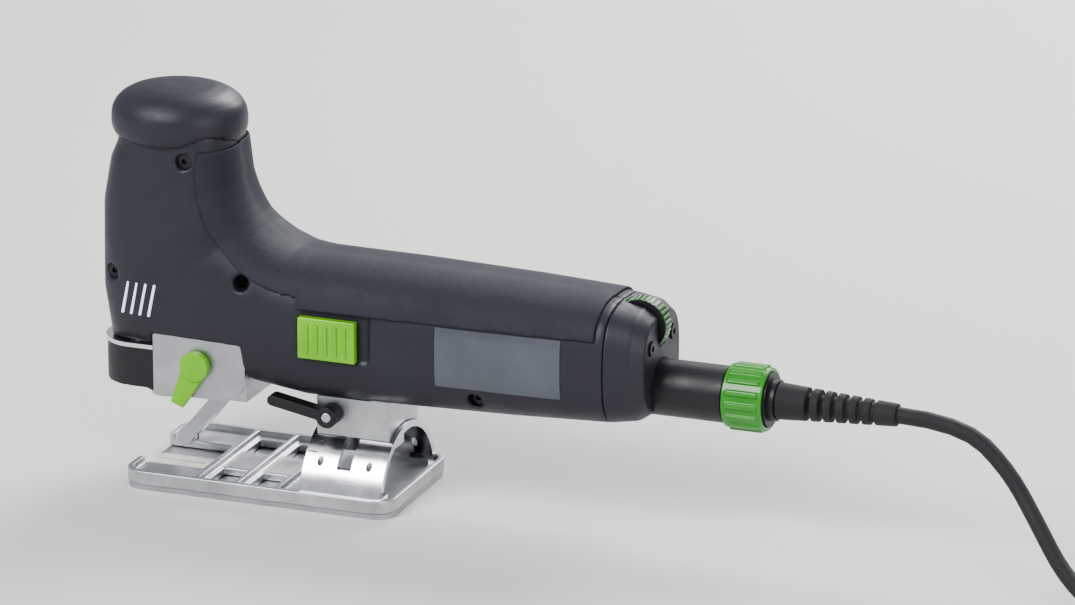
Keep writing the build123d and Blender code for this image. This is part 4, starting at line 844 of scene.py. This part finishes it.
# %% The lead
TUBE_RESOLUTION = 4
TUBE_ROUNDNESS = 3
lead = [Vector(point) * MM for point in LEAD_POINTS]
tail = [Vector(point) * MM for point in TAIL_POINTS]
route = nurbs_line("cord_route", lead + hank_points() + tail)
cord_line = centre_line(route)
route.data.bevel_depth = CORD_DIAMETER / 2
route.data.bevel_resolution = TUBE_ROUNDNESS
route.data.resolution_u = TUBE_RESOLUTION
route.data.use_fill_caps = True
cord_mesh = bpy.data.meshes.new_from_object(route.evaluated_get(bpy.context.evaluated_depsgraph_get()))
bpy.data.objects.remove(route)
cord_piece = bpy.data.objects.new("mains_lead", cord_mesh)
bpy.context.scene.collection.objects.link(cord_piece)
cord_mesh.shade_smooth()
paint(cord_piece, finishes["cord_rubber"])
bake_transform(cord_piece)
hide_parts("cord_lead", "cord_hank", "cord_tail")

# %% [markdown]
# A webbing tie holds the hank. It starts as a rounded block around all the turns, loses its two end
# faces, and gets its thickness.

# %% Hank tie
TIE_WIDTH = 18 * MM
TIE_THICKNESS = 0.8 * MM
TIE_ROUNDING = 5 * MM
TIE_FROM_MIDDLE = 30 * MM
END_NORMAL = 0.2
tie_size = (TIE_WIDTH, hank_high.y - hank_low.y + 2 * TIE_THICKNESS, hank_high.z + TIE_THICKNESS)
tie = rounded_block(tie_size, TIE_ROUNDING,
                    (hank_centre.x - TIE_FROM_MIDDLE, hank_centre.y, tie_size[2] / 2))
tie.name = "cord_tie"
shape = bmesh.new()
shape.from_mesh(tie.data)
ends = [face for face in shape.faces if abs(face.normal.x) > END_NORMAL]
bmesh.ops.delete(shape, geom=ends, context="FACES")
shape.to_mesh(tie.data)
shape.free()
solid = tie.modifiers.new("thickness", "SOLIDIFY")
solid.thickness = TIE_THICKNESS
apply_modifiers(tie)
tie.data.materials.append(soft_overmould("tie_webbing", shade(0.02, 0.022, 0.024)))
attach(tie, "base")
print("tie faces:", len(tie.data.polygons))

# %% [markdown]

# %% [markdown]
# A wide pale floor, and three soft square lights: a key from the left and above, a weaker fill from
# the right, and a third behind that outlines the dark plastic.

# %% Floor
FLOOR_REACH = 6.0
floor_mesh = bpy.data.meshes.new("floor")
floor_corners = [(-FLOOR_REACH, -FLOOR_REACH, 0), (FLOOR_REACH, -FLOOR_REACH, 0),
                 (FLOOR_REACH, FLOOR_REACH, 0), (-FLOOR_REACH, FLOOR_REACH, 0)]
floor_mesh.from_pydata(floor_corners, [], [(0, 1, 2, 3)])
floor = bpy.data.objects.new("floor", floor_mesh)
bpy.context.scene.collection.objects.link(floor)
paint(floor, Graph("floor").finish(Base_Color=shade(0.68, 0.68, 0.67), Roughness=0.7))
print("floor reaches:", FLOOR_REACH)

# %% Light
SKY_COLOUR = shade(0.9, 0.93, 1.0)
SKY_STRENGTH = 0.55
LIT_POINT = Vector((0.06, 0, 0.08))

world = bpy.data.worlds.new("studio")
world.use_nodes = True
sky = world.node_tree.nodes["Background"]
sky.inputs["Color"].default_value = SKY_COLOUR
sky.inputs["Strength"].default_value = SKY_STRENGTH
bpy.context.scene.world = world


def area_light(name, place, size, power):
    """A square softbox aimed at the saw."""
    lamp = bpy.data.lights.new(name, "AREA")
    lamp.size = size
    lamp.energy = power
    light = bpy.data.objects.new(name, lamp)
    light.location = place
    light.rotation_euler = (Vector(place) - LIT_POINT).to_track_quat("Z", "Y").to_euler()
    bpy.context.scene.collection.objects.link(light)


area_light("key", (-0.7, -1.3, 1.5), size=0.9, power=34)
area_light("fill", (1.5, -0.9, 0.7), size=1.0, power=10)
area_light("edge", (0.3, 1.3, 1.1), size=0.9, power=26)
bpy.context.scene.view_settings.view_transform = "AgX"
bpy.context.scene.view_settings.look = "AgX - Medium High Contrast"
print("lights ready")
